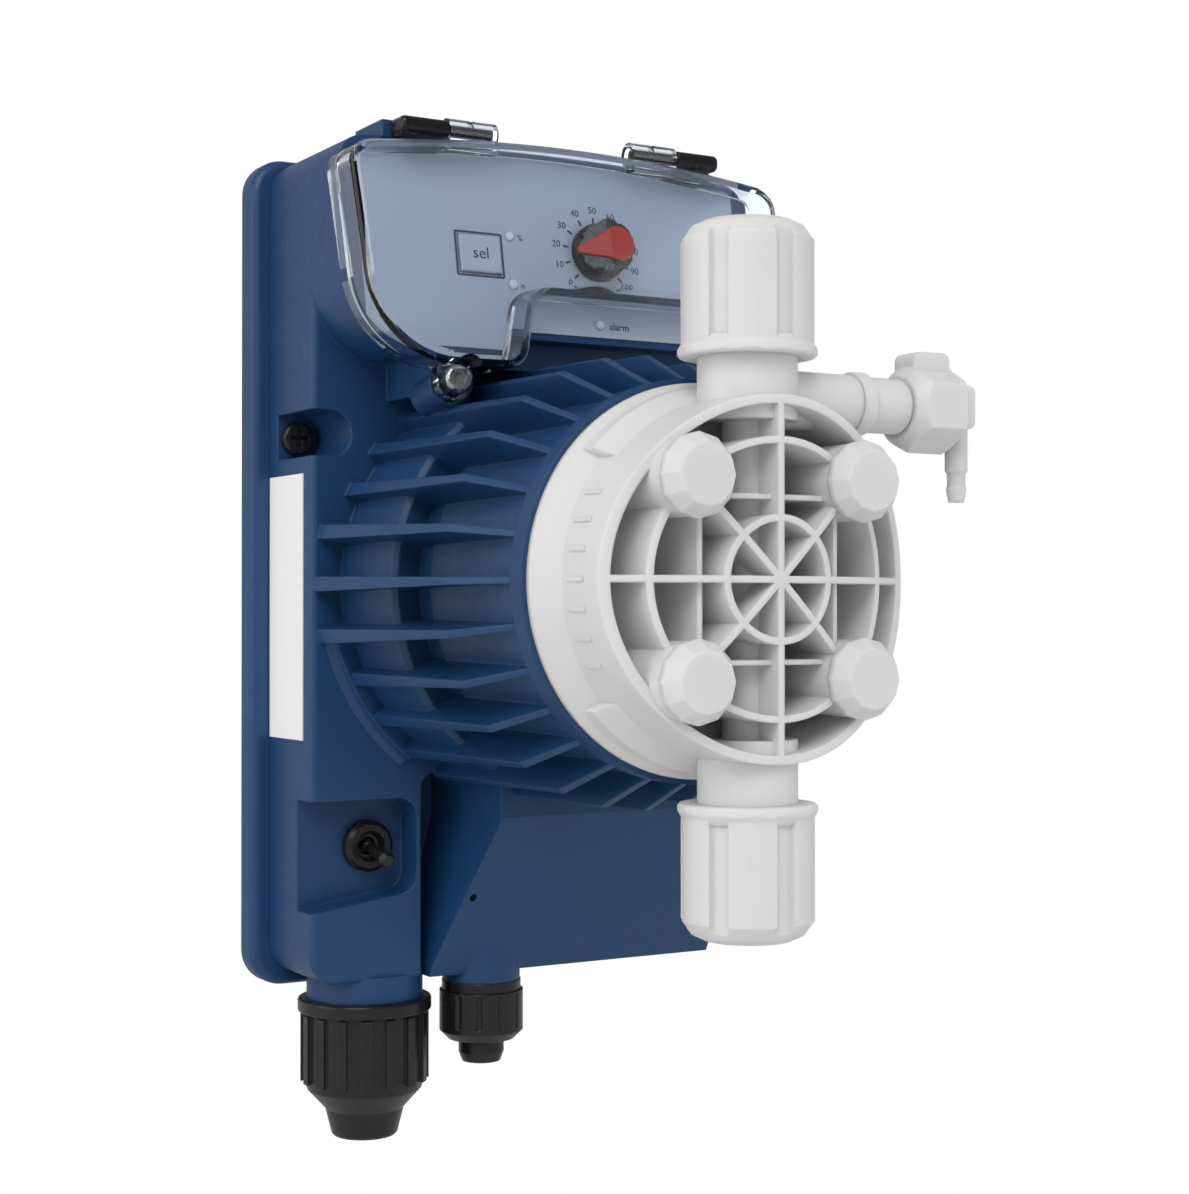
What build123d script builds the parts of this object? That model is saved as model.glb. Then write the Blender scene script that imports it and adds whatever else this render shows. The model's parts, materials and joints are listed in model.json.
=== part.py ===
from build123d import *
import os
from math import cos, radians, sin, tan

# Diaphragm metering pump for a wall. X is to the right as seen from the front,
# Y runs back to the wall (wall at Y = 0), Z is up. The pump head's axis is X = 0, Z = 0.

# ---- overall sizes of the housing
body_width = 115.7
body_side_top = 106.6
body_bottom = -98.0
half_body = body_width / 2

# ---- rear cover and wall bracket
cover_side_overhang = 4.9
cover_top_overhang = 2.1
cover_bottom_overhang = 3.7
cover_width = body_width + 2 * cover_side_overhang
cover_top = body_side_top + cover_top_overhang
cover_bottom = body_bottom - cover_bottom_overhang
cover_thickness = 7.0
cover_corner = 9.0
cover_edge_round = 2.4
bracket_width = 66.0
bracket_height = 82.0
bracket_thickness = 3.6
bracket_top = 41.0
bracket_side_angle = 20.0
bracket_clearance = 0.3
wall_hole_radius = 2.6
wall_hole_spacing_x = 40.0
wall_hole_spacing_z = 50.0
wall_countersink_radius = 4.8

# ---- housing
wall = 3.0
crown_rise = 2.4
body_crown = body_side_top + crown_rise
body_front = -34.0
body_corner = 7.0
body_edge_round = 1.6
gasket_width = 2.0
gasket_height = 1.2
gasket_inset = 0.4

# ---- control deck: a raised block with a tilted face
panel_tilt = 10.5
panel_foot_y = -58.0
panel_foot_z = 60.0
deck_bottom = 59.8
deck_lobe_bottom = 54.6
deck_lobe_inner_x = -15.0
deck_lobe_radius = 19.0
deck_right_radius = 12.0
shelf_bottom = 53.0
shelf_front = -50.0
film_inset = 1.8
film_thickness = 0.4

# ---- barrel with its cooling fins
yoke_radius = 38.0
yoke_air_gap = 3.0
barrel_bore = yoke_radius + yoke_air_gap
barrel_wall = 2.0
barrel_groove_radius = barrel_bore + barrel_wall
barrel_front_radius = barrel_groove_radius + 1.2
barrel_ring_radius = barrel_front_radius + 1.0
barrel_rear_radius = barrel_groove_radius + 7.0
barrel_front = -117.0
barrel_ring_start = barrel_front + 5.0
barrel_rear_end = -63.6
barrel_groove_end = -71.5
fin_count = 28
fin_root_thickness = 3.6
fin_apex_thickness = 1.8
fin_tip_thickness = 1.5
fin_root_radius = barrel_rear_radius + 3.6
fin_side_root_radius = barrel_rear_radius + 7.4
fin_side_angle = 13.0
fin_apex_radius = barrel_ring_radius + 7.5
fin_apex_y = -95.0
fin_tip_y = barrel_ring_start

# ---- lower front block, cable column and valley between them
block_front = -56.0
block_bevel_high_z = -57.0
block_bevel_low_y = -34.5
block_left_low_x = -26.2
block_left_low_z = -95.0
block_left_high_x = -17.4
block_left_high_z = -59.1
block_right_x = half_body - 1.25
column_right_x = -28.4
valley_floor = -17.0
valley_top_z = -47.0
valley_corner = 4.0
drain_x = -19.5
drain_z = -77.4
drain_radius = 1.0
drain_back = -43.0

# ---- switch pocket
pocket_floor = -25.0
pocket_right_x = -29.5
pocket_top = -53.0
pocket_bottom_left = -80.3
pocket_bottom_right = -76.0
pocket_corner = 5.0
switch_x = -39.5
switch_z = -65.2
switch_bushing_radius = 3.0
switch_nut_radius = 6.4
switch_nut_height = 3.4
switch_pivot_y = -26.5
switch_lever_length = 12.6
switch_rest_tilt = 12.0

# ---- screws that join the housing to the rear cover
channel_inset = 4.85
channel_x = half_body - channel_inset
channel_z = 37.0
channel_radius = 5.7
channel_wall = 2.6
channel_floor = -12.0
case_screw_radius = 2.0
case_screw_head_radius = case_screw_radius + 2.1
case_screw_head_height = 3.0
rear_screw_inset = 8.85
rear_screw_x = half_body - rear_screw_inset
rear_screw_z_high = body_side_top - 10.6
rear_screw_z_low = body_bottom + 10.0
rear_screw_radius = 1.5
rear_screw_head_radius = 3.4
rear_screw_head_height = 2.2
rear_screw_depth = -21.0
rear_boss_radius = 4.2

# ---- clear cover
door_wall = 2.0
door_side_gap = 0.45
door_half_width = half_body + door_side_gap + door_wall
door_depth = 12.0
door_overlap = 3.0
door_side_top = body_side_top - 3.8
door_crown = door_side_top + 4.5
door_corner = 6.5
door_lobe_bottom = 51.0
door_lobe_inner_x = -18.0
door_lobe_radius = 22.0
door_taper = 3.3
door_low_half_width = door_half_width - door_taper
door_notch_z = 69.8
door_notch_x = -13.5
door_notch_radius = 6.0
door_edge_round = 2.6
door_clearance = 0.6
hinge_stand = 6.1
hinge_z = body_crown
hinge_y = round(panel_foot_y + (hinge_z - panel_foot_z) * tan(radians(panel_tilt)) - hinge_stand, 1)
hinge_pin_radius = 1.6
hinge_running_gap = 0.08
hinge_knuckle_radius = hinge_pin_radius + 1.5
hinge_knuckle_inner_x = 19.3
hinge_knuckle_outer_x = 32.2
hinge_block_inner_x = 32.6
hinge_block_outer_x = 45.0
hinge_block_depth = 6.4
hinge_lug_back = body_front - 1.0
hinge_lug_front = hinge_y + 4.4
cover_screw_x = -33.6
cover_screw_z = 47.4
cover_ear_radius = 4.6
cover_ear_thickness = 2.6
cover_screw_shank_radius = 1.7
cover_screw_head_radius = cover_screw_shank_radius + 1.8
cover_screw_head_height = 2.8
cover_boss_radius = 5.0
cover_post_length = 11.0
cover_insert_radius = 4.0
cover_insert_bore = 3.0
cover_insert_length = 7.0

# ---- control panel fittings
knob_x = 10.0
knob_z = 82.7
knob_skirt_radius = 7.3
knob_grip_radius = 6.7
knob_skirt_height = 2.0
knob_height = 8.2
knob_flat_end = 0.5
knob_rest_angle = 184.0
pointer_length = 7.2
pointer_round = 4.4
pointer_setback = 1.6
pointer_height = 1.0
knob_shaft_radius = 3.0
key_x = -23.2
key_z = 79.8
key_width = 11.0
key_height = 9.4
key_stand = 0.9
key_clearance = 0.3
key_travel = 0.6
led_places = [(-14.6, 85.1), (-14.7, 73.0), (9.5, 64.7)]
led_radius = 1.25
led_length = 9.0
board_setback = 14.0
board_thickness = 1.6
board_width = 84.0
board_low_z = 67.0
board_high_z = 96.0

# ---- solenoid drive
front_wall = 8.0
recess_depth = 6.0
yoke_wall = 3.4
yoke_back = -41.0
yoke_front = barrel_front + recess_depth + front_wall
yoke_rear_plate = 4.0
yoke_front_plate = 5.0
plunger_radius = 15.2
plunger_back = -43.0
coil_inner_radius = plunger_radius + 2.0
coil_clearance = 0.4
pole_radius = plunger_radius - 1.2
pole_back = -79.0
stroke_gap = 1.8
rod_radius = 4.0
rod_gap = 0.08
spring_inner_radius = rod_radius + 1.2
spring_outer_radius = spring_inner_radius + 2.2
spring_seat_depth = 9.0

# ---- diaphragm and its backing ring
recess_radius = 40.0
backing_thickness = 4.0
backing_bore = 15.0
diaphragm_radius = 38.0
diaphragm_thickness = 2.0
diaphragm_web = 1.2
diaphragm_hub_radius = 12.0
diaphragm_hub_back = barrel_front + 9.0
shaft_bore = 14.0

# ---- pump head
head_flange_radius = 44.0
head_flange_edge = 1.4
head_shoulder_radius = 39.8
head_shoulder_y = barrel_front - 8.0
head_rim_radius = 39.0
head_front = barrel_front - 31.3
head_front_curve = 87.3
head_rim_wall = 2.0
head_floor = barrel_front - 10.0
head_rib = 1.5
head_thin_rib = 1.1
head_thin_rib_setback = 2.8
head_thin_rib_offset = 17.5
head_hub_ring = 13.0
head_mid_ring = 29.4
tick_count = 7
tick_pitch = 6.2
tick_width = 1.0
tick_back = head_floor
tick_front = tick_back - 6.5
shoulder_wedge_radius = 42.6
shoulder_wedge_front = barrel_front - 17.0
bolt_spacing = 42.4
bolt_boss_front = head_front + 0.7
bolt_radius = 2.5
bolt_head_radius = bolt_radius + 1.8
bolt_head_height = 5.0
bolt_seat = barrel_front - 20.0
washer_radius = bolt_head_radius + 0.6
washer_thickness = 1.0
bolt_counterbore = washer_radius + 0.3
bolt_boss_radius = bolt_counterbore + 3.2
bolt_end = barrel_front + 11.5
bolt_cap_radius = bolt_boss_radius + 0.55
bolt_cap_face_radius = 6.6
bolt_cap_height = 5.1
bolt_cap_facets = 12
dish_radius = 31.0
dish_depth = 2.4
channel_bore = 2.5
channel_offset = 12.0
channel_tube_radius = 5.5

# ---- ports, check valves and union nuts
port_y = barrel_front - 18.7
spigot_radius = 10.85
spigot_end = 63.0
valve_bore = 8.0
valve_floor = 39.0
cartridge_gap = 0.1
ball_radius = 4.0
cartridge_bore = ball_radius + 1.4
seat_height = 3.0
seat_bore = ball_radius - 1.1
ball_lift = 1.5
nut_clearance = 0.1
nut_bore = spigot_radius + nut_clearance
nut_groove_radius = nut_bore + 2.15
nut_radius = nut_groove_radius + 1.3
nut_lip_radius = nut_radius + 0.7
nut_lip = 47.8
nut_end = 77.0
nut_lip_height = 2.6
nut_top_radius = 9.6
nut_chamfer = 5.2
nut_lobes = 6
nut_lobe_share = 0.71
nut_hose_bore = 6.2
nut_top_wall = 3.0
nipple_flange_radius = nut_bore - 0.55
nipple_flange_height = 2.4
nipple_radius = 4.2
nipple_bore = 2.6
seal_outer_radius = nut_bore - 0.35
seal_inner_radius = valve_bore + 0.3
seal_height = 1.2

# ---- bleed valve
bleed_z = 39.3
bleed_boss_radius = 6.4
bleed_boss_end = 27.0
bleed_collar_radius = 7.1
bleed_collar_end = 30.5
bleed_body_radius = 6.2
bleed_body_end = 40.5
bleed_knob_start = 40.9
bleed_knob_end = 54.4
bleed_knob_radius = 10.2
bleed_wing_height = 12.4
bleed_wing_width = 7.0
bleed_stem_radius = 2.6
bleed_elbow_start = 54.8
bleed_elbow_end = 61.4
bleed_elbow_half = 4.2
bleed_barb_radius = 2.6
bleed_barb_tip_radius = 2.1
bleed_barb_bottom = 18.3
bleed_barb_step = 25.5
bleed_bore = 1.2

# ---- cable glands
gland_x = -37.6
gland_y = -20.5
gland_collar_radius = 14.6
gland_collar_bottom = -103.6
gland_thread_radius = 10.0
gland_thread_length = 11.0
gland_flange_radius = 16.8
gland_flange_height = 3.4
gland_nut_radius = 16.1
gland_nut_bottom = -125.0
gland_nut_ribs = 16
gland_cone_radius = 14.4
gland_cone_low_radius = 9.9
gland_cone_bottom = -131.5
gland_end_radius = 8.3
gland_end = -138.4
gland_bore = 5.5
signal_x = -8.6
signal_y = -28.5
signal_collar_radius = 9.9
signal_collar_bottom = -100.6
signal_thread_radius = 6.0
signal_nut_radius = 10.7
signal_nut_bottom = -115.7
signal_end_radius = 5.8
signal_end = -121.5
signal_bore = 2.6

# ---- blank label on the left side
label_back = -7.6
label_front = -29.0
label_top = 27.2
label_bottom = -38.3
label_thickness = 0.3

far = 400.0
tilt = radians(panel_tilt)
panel = Plane(origin=(0, panel_foot_y, panel_foot_z), x_dir=(1, 0, 0), z_dir=(0, -cos(tilt), sin(tilt)))
bolt_half = bolt_spacing / 2
bolt_places = [(sx * bolt_half, sz * bolt_half) for sx in (-1, 1) for sz in (-1, 1)]


# ---- shape helpers

def block(x0, x1, y0, y1, z0, z1):
    """Box between two corners."""
    centre = ((x0 + x1) / 2, (y0 + y1) / 2, (z0 + z1) / 2)
    return Pos(*centre) * Box(abs(x1 - x0), abs(y1 - y0), abs(z1 - z0))


def prism(outline, y_back, y_front):
    """Solid of an X-Z outline, from y_back towards the front."""
    plane = Plane(origin=(0, y_back, 0), x_dir=(1, 0, 0), z_dir=(0, -1, 0))
    return extrude(plane * outline, amount=y_back - y_front, dir=(0, -1, 0))


def rod_y(radius, y_back, y_front, x=0.0, z=0.0):
    """Cylinder along Y."""
    return Pos(x, (y_back + y_front) / 2, z) * Rot(90, 0, 0) * Cylinder(radius, y_back - y_front)


def rod_z(radius, z_low, z_high, x, y):
    """Cylinder along Z."""
    return Pos(x, y, (z_low + z_high) / 2) * Cylinder(radius, z_high - z_low)


def rod_x(radius, x_low, x_high, y, z):
    """Cylinder along X."""
    return Pos((x_low + x_high) / 2, y, z) * Rot(0, 90, 0) * Cylinder(radius, x_high - x_low)


def turned_y(profile, x=0.0, z=0.0):
    """Turned part on an axis along Y, from (radius, y) points."""
    return Pos(x, 0, z) * revolve(make_face(Polyline(*profile, close=True)), axis=Axis.Y)


def turned_z(profile, x, y):
    """Turned part on a vertical axis, from (radius, z) points."""
    face = make_face(Plane.XZ * Polyline(*profile, close=True))
    return Pos(x, y, 0) * revolve(face, axis=Axis.Z)


def turned_x(profile, y, z):
    """Turned part on an axis along X, from (x, radius) points."""
    return Pos(0, y, z) * revolve(make_face(Polyline(*profile, close=True)), axis=Axis.X)


def on_panel(x, z, out=0.0):
    """Plane parallel to the panel, at a place on it and a height above it."""
    return panel * Pos(x, (z - panel_foot_z) / cos(tilt), out)


def panel_slab(behind, ahead):
    """Wide slab parallel to the panel, between two heights above it."""
    return panel * Pos(0, 0, (behind + ahead) / 2) * Box(far, far, ahead - behind)


def arched_outline(half_width, bottom, side_top, crown):
    """Upright rectangle with a gently arched top."""
    left, right = (-half_width, side_top), (half_width, side_top)
    edges = [
        Line((-half_width, bottom), (half_width, bottom)),
        Line((half_width, bottom), right),
        ThreePointArc(right, (0, crown), left),
        Line(left, (-half_width, bottom)),
    ]
    return make_face(edges)


def corners_near(outline, places, reach=1.0):
    """Vertices of an outline that lie at the given places."""
    found = []
    for vertex in outline.vertices():
        for place in places:
            if abs(vertex.X - place[0]) < reach and abs(vertex.Y - place[1]) < reach:
                found.append(vertex)
    return found


def body_outline(inset=0.0):
    """Footprint of the housing on the wall side."""
    half = half_body - inset
    outline = arched_outline(half, body_bottom + inset, body_side_top - inset, body_crown - inset)
    return fillet(outline.vertices(), body_corner - inset)


def lobed_outline(half_width, side_top, crown, lobe_bottom, step_x, right_bottom, lobe_round, right_round, top_round):
    """Outline shared by the control deck and the clear cover: a deep lobe at the lower left."""
    left, right = (-half_width, side_top), (half_width, side_top)
    low_left, low_step = (-half_width, lobe_bottom), (step_x - 4.0, lobe_bottom)
    high_step, low_right = (step_x, right_bottom), (half_width, right_bottom)
    edges = [
        Line(left, low_left),
        Line(low_left, low_step),
        Line(low_step, high_step),
        Line(high_step, low_right),
        Line(low_right, right),
        ThreePointArc(right, (0, crown), left),
    ]
    outline = make_face(edges)
    outline = fillet(corners_near(outline, [low_left]), lobe_round)
    outline = fillet(corners_near(outline, [low_right]), right_round)
    return fillet(corners_near(outline, [left, right]), top_round)


def deck_outline(inset=0.0):
    """Outline of the control deck, seen from the front."""
    return lobed_outline(
        half_body - inset, body_side_top - inset, body_crown - inset,
        deck_lobe_bottom + inset, deck_lobe_inner_x, deck_bottom + inset,
        deck_lobe_radius - inset, deck_right_radius - inset, body_corner - inset)


def door_outline(inset=0.0):
    """Outline of the clear cover, seen from the front."""
    half = door_half_width - inset
    side_top, crown = door_side_top - inset, door_crown - inset
    bottom, notch = door_lobe_bottom + inset, door_notch_z + inset
    left, right = (-half, side_top), (half, side_top)
    low_left, low_right = (inset - door_low_half_width, bottom), (door_lobe_inner_x - inset, bottom)
    edges = [
        Line(left, low_left),
        Line(low_left, low_right),
        Line(low_right, (door_notch_x - inset, notch)),
        Line((door_notch_x - inset, notch), (half, notch)),
        Line((half, notch), right),
        ThreePointArc(right, (0, crown), left),
    ]
    outline = make_face(edges)
    outline = fillet(corners_near(outline, [low_left]), door_lobe_radius - inset)
    outline = fillet(corners_near(outline, [low_right]), door_notch_radius - inset)
    outline = fillet(corners_near(outline, [(door_notch_x - inset, notch)]), door_notch_radius + inset)
    return fillet(corners_near(outline, [left, right]), door_corner - inset)


def lower_block(inset=0.0):
    """Block below the barrel: slanted left edge, and a front that leans back towards the bottom."""
    left_low, left_high = block_left_low_x + inset, block_left_high_x + inset
    outline = make_face(Polyline(
        (left_low, body_bottom + inset), (block_right_x - inset, body_bottom + inset),
        (block_right_x - inset, -30.0), (left_high, -30.0), (left_high, block_left_high_z),
        (left_low, block_left_low_z), close=True))
    back, front = body_front + 1 + inset, block_front + inset
    slope = (block_bevel_high_z - body_bottom) / (block_bevel_low_y - block_front)
    low_y = block_bevel_low_y + inset * (1 + slope ** -2) ** 0.5
    high_z = body_bottom + slope * (low_y - front)
    side = Plane.YZ * make_face(Polyline(
        (back, body_bottom), (low_y, body_bottom), (front, high_z), (front, -30.0), (back, -30.0), close=True))
    return prism(outline, back, front) & (Pos(-half_body, 0, 0) * extrude(side, amount=body_width))


def pocket_outline(grow=0.0):
    """Outline of the switch pocket, open on the left side of the housing."""
    points = [
        (-half_body - 5.0, pocket_bottom_left - 0.8 - grow),
        (pocket_right_x + grow, pocket_bottom_right - grow),
        (pocket_right_x + grow, pocket_top + grow),
        (-half_body - 5.0, pocket_top + grow),
    ]
    outline = make_face(Polyline(*points, close=True))
    return fillet(corners_near(outline, points[1:3]), pocket_corner + grow)


def valley_outline(grow=0.0):
    """Outline of the deep valley between the cable column and the lower block."""
    left, high = column_right_x - grow, block_left_high_x + grow
    points = [
        (left, body_bottom - 10.0), (block_left_low_x + grow, body_bottom - 10.0),
        (block_left_low_x + grow, block_left_low_z), (high, block_left_high_z), (high, valley_top_z + grow),
        (left, valley_top_z + grow),
    ]
    outline = make_face(Polyline(*points, close=True))
    return fillet(corners_near(outline, points[4:]), valley_corner)


# ---- wall bracket, rear cover and gasket

def bracket_solid(clearance=0.0, slide=0.0):
    """Plate whose sides lean in towards the wall, so the cover hooks over it from above."""
    half = bracket_width / 2 + clearance
    depth = bracket_thickness + clearance
    lean = depth * tan(radians(bracket_side_angle))
    section = Polyline((-half + lean, 0), (half - lean, 0), (half, -depth), (-half, -depth), close=True)
    height = bracket_height + slide + clearance
    plate = extrude(Plane.XY * make_face(section), amount=height)
    return Pos(0, 0, bracket_top + clearance - height) * plate


def make_wall_bracket():
    plate = bracket_solid()
    middle = bracket_top - bracket_height / 2
    for sx in (-1, 1):
        for sz in (-1, 1):
            x, z = sx * wall_hole_spacing_x / 2, middle + sz * wall_hole_spacing_z / 2
            plate -= rod_y(wall_hole_radius, 1, -bracket_thickness - 1, x, z)
            plate -= turned_y([(0, -bracket_thickness - 0.1), (wall_countersink_radius, -bracket_thickness - 0.1),
                               (wall_hole_radius, -bracket_thickness + 2.2), (0, -bracket_thickness + 2.2)], x, z)
    window = RectangleRounded(22.0, 30.0, 4.0)
    return plate - prism(Pos(0, middle) * window, 1, -bracket_thickness - 1)


def make_rear_cover():
    height = cover_top - cover_bottom
    outline = Pos(0, (cover_top + cover_bottom) / 2) * RectangleRounded(cover_width, height, cover_corner)
    cover = prism(outline, 0, -cover_thickness)
    cover = fillet(cover.faces().sort_by(Axis.Y)[0].edges(), cover_edge_round)
    slide = bracket_top - bracket_height - cover_bottom + 5.0
    cover -= bracket_solid(bracket_clearance, slide)
    cover -= gasket_ring()
    for sx in (-1, 1):
        cover -= rod_y(case_screw_radius, -2.0, -cover_thickness - 1, sx * channel_x, channel_z)
        for z in (rear_screw_z_high, rear_screw_z_low):
            cover -= rod_y(rear_screw_radius + 0.2, 1, -cover_thickness - 1, sx * rear_screw_x, z)
            cover -= rod_y(rear_screw_head_radius + 0.3, 1, -rear_screw_head_height - 0.4, sx * rear_screw_x, z)
    return cover


def gasket_ring():
    outer = prism(body_outline(gasket_inset), gasket_height - cover_thickness, -cover_thickness)
    inner = prism(body_outline(gasket_inset + gasket_width), 0, -cover_thickness - 1)
    return outer - inner


def make_rear_cover_screws():
    screws = []
    for sx in (-1, 1):
        for z in (rear_screw_z_high, rear_screw_z_low):
            x = sx * rear_screw_x
            head_back = -0.4
            head_front = head_back - rear_screw_head_height
            screw = rod_y(rear_screw_head_radius, head_back, head_front, x, z)
            screw += rod_y(rear_screw_radius, head_front, rear_screw_depth, x, z)
            screw -= Pos(x, head_back, z) * Rot(0, 45, 0) * Box(3.8, 1.8, 0.9)
            screw -= Pos(x, head_back, z) * Rot(0, 45, 0) * Box(0.9, 1.8, 3.8)
            screws.append(screw)
    return screws


def make_case_screws():
    screws = []
    for sx in (-1, 1):
        x = sx * channel_x
        head = rod_y(case_screw_head_radius, channel_floor, channel_floor - case_screw_head_height, x, channel_z)
        head = fillet(head.faces().sort_by(Axis.Y)[0].edges(), 0.8)
        screw = head + rod_y(case_screw_radius - 0.05, -2.5, channel_floor, x, channel_z)
        for turn in (0, 90):
            slot = Pos(x, channel_floor - case_screw_head_height, channel_z) * Rot(0, turn, 0) * Box(4.6, 2.4, 1.0)
            screw -= slot
        screws.append(screw)
    return screws


# ---- front housing

def fin(root_radius):
    """One cooling fin in the plane through the head axis, along +X, thinner towards its tip."""
    inner = barrel_groove_radius - 1.0
    points = [
        (inner, body_front + 1.0),
        (root_radius, body_front + 1.0),
        (fin_apex_radius, fin_apex_y),
        (barrel_ring_radius - 0.1, fin_tip_y),
        (inner, fin_tip_y),
    ]
    blade = extrude(make_face(Polyline(*points, close=True)), amount=fin_root_thickness, both=True)
    root, apex, tip = fin_root_thickness / 2, fin_apex_thickness / 2, fin_tip_thickness / 2
    draft = Plane.YZ * make_face(Polyline(
        (body_front + 1.0, -root), (body_front + 1.0, root), (fin_apex_y, apex), (fin_tip_y, tip),
        (fin_tip_y, -tip), (fin_apex_y, -apex), close=True))
    return blade & extrude(draft, amount=fin_side_root_radius + 5.0)


def barrel():
    """Stepped barrel that holds the solenoid, with a groove behind the front ring."""
    profile = [
        (0, body_front + 1), (barrel_rear_radius, body_front + 1), (barrel_rear_radius, barrel_rear_end + 1.2),
        (barrel_rear_radius - 1.2, barrel_rear_end), (barrel_groove_radius, barrel_rear_end),
        (barrel_groove_radius, barrel_groove_end), (barrel_front_radius, barrel_groove_end),
        (barrel_front_radius, barrel_ring_start + 1.2), (barrel_ring_radius, barrel_ring_start),
        (barrel_ring_radius, barrel_front), (0, barrel_front),
    ]
    solid = turned_y(profile)
    for step in range(fin_count):
        angle = 360.0 / fin_count * step
        near_side = min(angle % 180, 180 - angle % 180) < fin_side_angle
        solid += Rot(0, angle, 0) * fin(fin_side_root_radius if near_side else fin_root_radius)
    return solid


def deck():
    """Raised control deck with its tilted face."""
    solid = prism(deck_outline(), -cover_thickness - 1, panel_foot_y - 25)
    return solid - panel_slab(0, 80)


def deck_shelf():
    """Ledge that closes the space between the deck's underside and the fins."""
    return block(deck_lobe_inner_x, half_body - 1.0, body_front + 1, shelf_front, shelf_bottom, deck_bottom + 1)


def hinge_lugs():
    lugs = Part()
    for side in (-1, 1):
        x0, x1 = side * hinge_block_inner_x, side * (hinge_block_outer_x + 1.8)
        lugs += block(x0, x1, hinge_lug_back, hinge_lug_front, hinge_z - 2.1, hinge_z + 2.1)
    return lugs


def cover_screw_boss():
    """Post under the control deck that takes the clear cover's screw."""
    middle = -door_clearance - cover_post_length / 2
    post = on_panel(cover_screw_x, cover_screw_z, middle) * Cylinder(cover_boss_radius, cover_post_length)
    neck = block(cover_screw_x - 4.2, cover_screw_x + 4.2, body_front + 1, panel_foot_y - 1, cover_screw_z - 2,
                 deck_lobe_bottom + 1)
    return post + (neck - panel_slab(-1.0, 60))


def gland_collars():
    """Collars under the housing that carry the two cable glands."""
    power = rod_z(gland_collar_radius, gland_collar_bottom, body_bottom + 1, gland_x, gland_y)
    power -= block(-far, far, 1, -cover_thickness, -far, 0)
    signal = rod_z(signal_collar_radius, signal_collar_bottom, body_bottom + 9, signal_x, signal_y)
    return power + signal


def housing_core():
    """Hollow inside the housing, walls and bosses left standing."""
    core = prism(body_outline(wall), 0, body_front + wall)
    inner_deck = prism(deck_outline(wall), body_front + wall + 1, panel_foot_y - 25)
    core += inner_deck - panel_slab(-wall, 80)
    core += rod_y(barrel_bore, body_front + wall + 1, barrel_front + recess_depth + front_wall)
    core += lower_block(wall)
    core -= prism(pocket_outline(wall), pocket_floor + wall, -80)
    core -= prism(valley_outline(wall), valley_floor + wall, -80)
    for sx in (-1, 1):
        core -= rod_y(channel_radius + channel_wall, 0, -80, sx * channel_x, channel_z)
        core -= block(sx * channel_x, sx * (half_body + 1), 0, -80, channel_z - channel_radius - channel_wall,
                      channel_z + channel_radius + channel_wall)
        for z in (rear_screw_z_high, rear_screw_z_low):
            core -= rod_y(rear_boss_radius, 0, -60, sx * rear_screw_x, z)
    core -= on_panel(cover_screw_x, cover_screw_z, -20) * Cylinder(cover_boss_radius + 0.5, 40.0)
    for x in (-board_width / 2 + 5, board_width / 2 - 5):
        core -= on_panel(x, board_high_z - 5, -board_setback / 2) * Cylinder(2.6, board_setback)
        core -= on_panel(x, board_low_z + 5, -board_setback / 2) * Cylinder(2.6, board_setback)
    return core


def make_front_housing():
    body = prism(body_outline(), -cover_thickness, body_front)
    body = fillet(body.faces().sort_by(Axis.Y)[0].edges(), body_edge_round)
    body += lower_block()
    body += deck()
    body += deck_shelf()
    body += hinge_lugs()
    body -= prism(valley_outline(), valley_floor, -80)
    body += gland_collars()
    body += barrel()
    body += cover_screw_boss()
    body -= housing_core()
    body -= prism(pocket_outline(), pocket_floor, -80)
    for sx in (-1, 1):
        x = sx * channel_x
        body -= rod_y(channel_radius, channel_floor, -46, x, channel_z)
        body -= block(x, sx * (half_body + 5), channel_floor, -46, channel_z - channel_radius,
                      channel_z + channel_radius)
        body -= rod_y(case_screw_radius + 0.3, 0, channel_floor - 1, x, channel_z)
        for z in (rear_screw_z_high, rear_screw_z_low):
            body -= rod_y(rear_screw_radius + 0.05, 0, rear_screw_depth - 1, sx * rear_screw_x, z)
    body -= rod_y(recess_radius, barrel_front + recess_depth, barrel_front - 5)
    body -= rod_y(shaft_bore, barrel_front + recess_depth + front_wall + 1, barrel_front - 5)
    for x, z in bolt_places:
        body -= rod_y(bolt_radius + 0.05, -100, barrel_front - 1, x, z)
    body -= on_panel(cover_screw_x, cover_screw_z, 14.7) * Cylinder(cover_ear_radius + 0.7, 30.0)
    body -= panel_holes()
    body -= cover_insert_hole()
    body -= rod_z(gland_thread_radius + 0.05, gland_collar_bottom - 1, body_bottom + 14, gland_x, gland_y)
    body -= rod_z(signal_thread_radius + 0.05, signal_collar_bottom - 1, body_bottom + 11, signal_x, signal_y)
    body -= rod_y(switch_bushing_radius + 0.1, 0, pocket_floor - 1, switch_x, switch_z)
    body -= rod_y(drain_radius, drain_back, block_front - 1, drain_x, drain_z)
    for side in (-1, 1):
        body -= hinge_tongue(side, 0.1)
    return body


def panel_holes():
    """Openings in the deck face: knob shaft, key window and light pipes."""
    holes = on_panel(knob_x, knob_z, 0) * Cylinder(knob_shaft_radius + 0.6, 12.0)
    holes += on_panel(key_x, key_z, 0) * Box(key_width + 2 * key_clearance, key_height + 2 * key_clearance, 12.0)
    for x, z in led_places:
        holes += on_panel(x, z, -4.0) * Cylinder(led_radius + 0.05, 2 * led_length)
    return holes


def cover_insert_hole():
    depth = cover_insert_length + 2.0
    return on_panel(cover_screw_x, cover_screw_z, -door_clearance - depth / 2 + 0.5) * Cylinder(
        cover_insert_radius + 0.02, depth + 1.0)


# ---- clear cover and its hinges

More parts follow.
